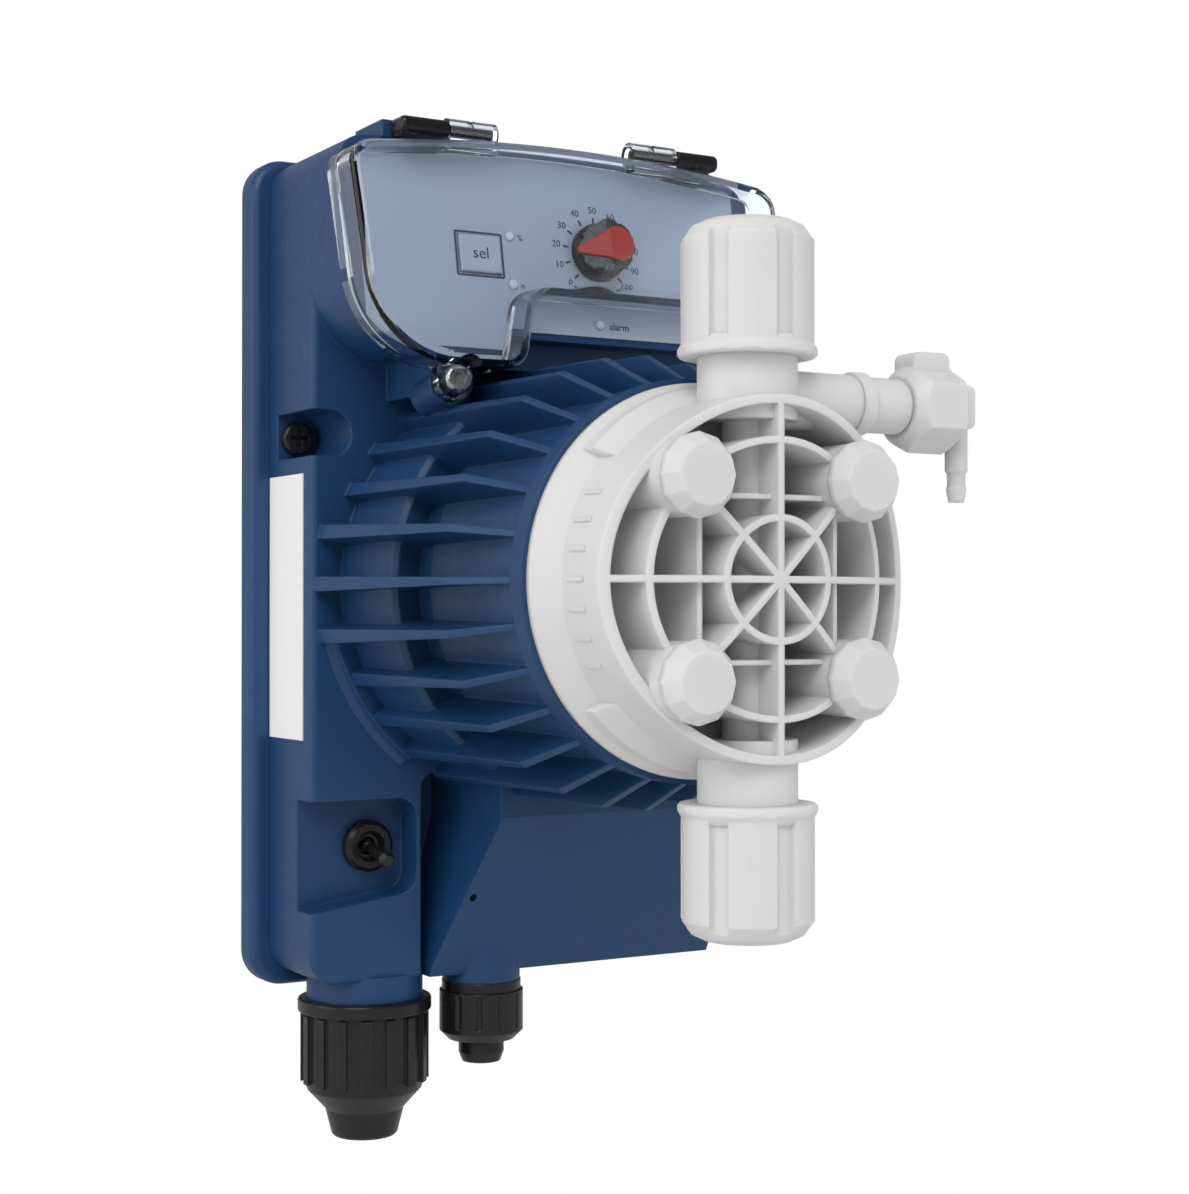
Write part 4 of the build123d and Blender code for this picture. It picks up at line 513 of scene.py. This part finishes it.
def makeKeyFrame():
    # printed line round the key
    bm = bmesh.new()
    place = onPanel(keyLegend["x"], keyLegend["z"], panelPlace["filmTop"] + keyFrame["thickness"] / 2)
    width, height, line, thickness = (keyFrame[key] * mm for key in ("width", "height", "line", "thickness"))
    for side in (-1, 1):
        upright = Matrix.Translation((side * width / 2, 0, 0)) @ Matrix.Diagonal((line, height, thickness, 1))
        level = Matrix.Translation((0, side * height / 2, 0)) @ Matrix.Diagonal((width, line, thickness, 1))
        bmesh.ops.create_cube(bm, size=1.0, matrix=place @ upright)
        bmesh.ops.create_cube(bm, size=1.0, matrix=place @ level)
    return bmeshPiece("key_frame", bm, "pump", "darkPrint")


panelWords = [
    {"words": "%", "x": -11.6, "z": 84.9, "size": 2.2},
    {"words": "n", "x": -11.8, "z": 72.8, "size": 2.2},
    {"words": "alarm", "x": 15.2, "z": 64.5, "size": 2.6},
]


def makePanelWords():
    # small words beside the lights
    bm = bmesh.new()
    top = panelPlace["filmTop"] + dialMarks["thickness"] / 2
    for entry in panelWords:
        addText(bm, entry["words"], entry["size"], onPanel(entry["x"], entry["z"], top))
    return bmeshPiece("panel_words", bm, "pump", "darkPrint")


rootRing = {
    "outer": 57.3, "shoulder": 54.2, "inner": 49.0, "foot": -33.8, "rise": 3.0, "round": 7, "step": 2.5,
    "arcs": ((192.86, 233.0), (-31.0, -12.86)),
}


def makeRootRing():
    # low coved ring on the housing's face, round the root of the barrel, where that face is wide enough
    look = rootRing
    profile = []
    for index in range(look["round"] + 1):
        angle = math.pi / 2 * index / look["round"]
        radius = look["shoulder"] + (look["outer"] - look["shoulder"]) * (1 - math.sin(angle))
        profile.append((radius, look["foot"] - look["rise"] * (1 - math.cos(angle))))
    profile.append((look["inner"], look["foot"] - look["rise"]))
    profile.append((look["inner"], look["foot"]))
    bm = bmesh.new()
    for start, end in look["arcs"]:
        turn = Matrix.Rotation(-math.radians(start), 4, "Y")
        corners = [bm.verts.new(turn @ Vector((radius * mm, y * mm, 0))) for radius, y in profile]
        outline = bm.faces.new(corners)
        shape = [outline, *outline.edges, *outline.verts]
        bmesh.ops.spin(bm, geom=shape, cent=(0, 0, 0), axis=(0, -1, 0), angle=math.radians(end - start),
                       steps=round((end - start) / look["step"]), use_merge=False, use_duplicate=False)
    return bmeshPiece("barrel_root_ring", bm, "pump", "blueHousing")


makeRootRing()
makeDialMarks()
makeKeyLegend()
makeKeyFrame()
makePanelWords()
print("root ring and panel marks made")


def clearView(tree, path, dimmed):
    # camera rays at full strength, and less for rays that leave the clear cover after a mirror bounce
    bounced = mathNode(tree, "MULTIPLY", path.outputs["Glossy Depth"], dimmed, clamp=True)
    passed = mathNode(tree, "SUBTRACT", 1.0, bounced)
    passed = mathNode(tree, "MULTIPLY", passed, path.outputs["Is Transmission Ray"])
    return mathNode(tree, "ADD", path.outputs["Is Camera Ray"], passed, clamp=True)


stageLook = {
    "floorZ": -0.30, "backdropY": 1.6, "backdropZ": 1.0, "size": 6.0, "grey": (0.8, 0.8, 0.8, 1),
    "mirrored": 0.48, "dimmed": 0.55,
}


def stageMaterial():
    material = bpy.data.materials.new("paleStage")
    material.use_nodes = True
    tree = material.node_tree
    for node in list(tree.nodes):
        tree.nodes.remove(node)
    diffuse = tree.nodes.new("ShaderNodeBsdfDiffuse")
    diffuse.inputs["Color"].default_value = stageLook["grey"]
    glow = tree.nodes.new("ShaderNodeEmission")
    glow.inputs["Color"].default_value = (1, 1, 1, 1)
    path = tree.nodes.new("ShaderNodeLightPath")
    direct = clearView(tree, path, stageLook["dimmed"])
    mirrored = mathNode(tree, "MULTIPLY", path.outputs["Is Glossy Ray"], stageLook["mirrored"])
    join(tree, mathNode(tree, "ADD", direct, mirrored), glow.inputs["Strength"])
    seen = mathNode(tree, "ADD", path.outputs["Is Camera Ray"], path.outputs["Is Glossy Ray"])
    seen = mathNode(tree, "ADD", seen, path.outputs["Is Transmission Ray"], clamp=True)
    mixer = tree.nodes.new("ShaderNodeMixShader")
    join(tree, seen, mixer.inputs[0])
    join(tree, diffuse.outputs[0], mixer.inputs[1])
    join(tree, glow.outputs[0], mixer.inputs[2])
    result = tree.nodes.new("ShaderNodeOutputMaterial")
    join(tree, mixer.outputs[0], result.inputs["Surface"])
    return material


def makeStage():
    paleStage = stageMaterial()
    upright = Matrix.Rotation(math.pi / 2, 4, "X")
    floorPlace = Matrix.Translation((0, 0, stageLook["floorZ"]))
    backdropPlace = Matrix.Translation((0, stageLook["backdropY"], stageLook["backdropZ"])) @ upright
    for name, matrix in (("floor", floorPlace), ("backdrop", backdropPlace)):
        bm = bmesh.new()
        bmesh.ops.create_grid(bm, x_segments=1, y_segments=1, size=stageLook["size"], matrix=matrix)
        mesh = bpy.data.meshes.new(name)
        bm.to_mesh(mesh)
        bm.free()
        mesh.materials.append(paleStage)
        plane = bpy.data.objects.new(name, mesh)
        bpy.context.scene.collection.objects.link(plane)


lampLooks = {
    "keyLamp": {"place": (-0.9, -1.1, 1.1), "aim": (0, -0.08, 0),
        "size": 1.1, "power": 14.0, "mirrored": True},
    "sideLamp": {"place": (-1.4, 0.1, 0.3), "aim": (0, -0.06, 0),
        "size": 1.0, "power": 4.0, "mirrored": True},
    "fillLamp": {"place": (1.1, -1.2, 0.2), "aim": (0, -0.08, 0),
        "size": 1.4, "power": 5.0, "mirrored": False},
}


def makeLamps():
    for name, look in lampLooks.items():
        data = bpy.data.lights.new(name, "AREA")
        data.shape = "DISK"
        data.size = look["size"]
        data.energy = look["power"]
        lamp = bpy.data.objects.new(name, data)
        lamp.visible_glossy = look["mirrored"]
        bpy.context.scene.collection.objects.link(lamp)
        direction = Vector(look["aim"]) - Vector(look["place"])
        turn = direction.to_track_quat("-Z", "Y").to_matrix().to_4x4()
        lamp.matrix_world = Matrix.Translation(look["place"]) @ turn


worldLook = {"mirrored": 0.10, "scattered": 0.60, "dimmed": 0.55}


def makeWorld():
    world = bpy.data.worlds.new("studio")
    bpy.context.scene.world = world
    world.use_nodes = True
    tree = world.node_tree
    for node in list(tree.nodes):
        tree.nodes.remove(node)
    path = tree.nodes.new("ShaderNodeLightPath")
    seen = clearView(tree, path, worldLook["dimmed"])
    mirrored = mathNode(tree, "MULTIPLY", path.outputs["Is Glossy Ray"], worldLook["mirrored"])
    scattered = mathNode(tree, "MULTIPLY", path.outputs["Is Diffuse Ray"], worldLook["scattered"])
    strength = mathNode(tree, "ADD", seen, mathNode(tree, "ADD", mirrored, scattered))
    background = tree.nodes.new("ShaderNodeBackground")
    background.inputs["Color"].default_value = (1, 1, 1, 1)
    join(tree, strength, background.inputs["Strength"])
    result = tree.nodes.new("ShaderNodeOutputWorld")
    join(tree, background.outputs[0], result.inputs["Surface"])


cameraLook = {
    "place": (-0.25665, -0.50542, -0.00721), "azimuth": 30.58, "rise": 0.46, "lens": 62.97, "sensor": 36.0,
}


def makeCamera():
    data = bpy.data.cameras.new("camera")
    data.lens = cameraLook["lens"]
    data.sensor_width = cameraLook["sensor"]
    data.sensor_fit = "AUTO"
    data.clip_start = 0.01
    camera = bpy.data.objects.new("camera", data)
    bpy.context.scene.collection.objects.link(camera)
    side, rise = math.radians(cameraLook["azimuth"]), math.radians(cameraLook["rise"])
    forward = Vector((math.sin(side) * math.cos(rise), math.cos(side) * math.cos(rise), math.sin(rise)))
    right = Vector((math.cos(side), -math.sin(side), 0))
    up = right.cross(forward)
    turn = Matrix((right, up, -forward)).transposed().to_4x4()
    camera.matrix_world = Matrix.Translation(cameraLook["place"]) @ turn
    bpy.context.scene.camera = camera


makeStage()
makeLamps()
makeWorld()
makeCamera()
bpy.context.scene.view_settings.view_transform = "Standard"
print("stage, light and camera set")
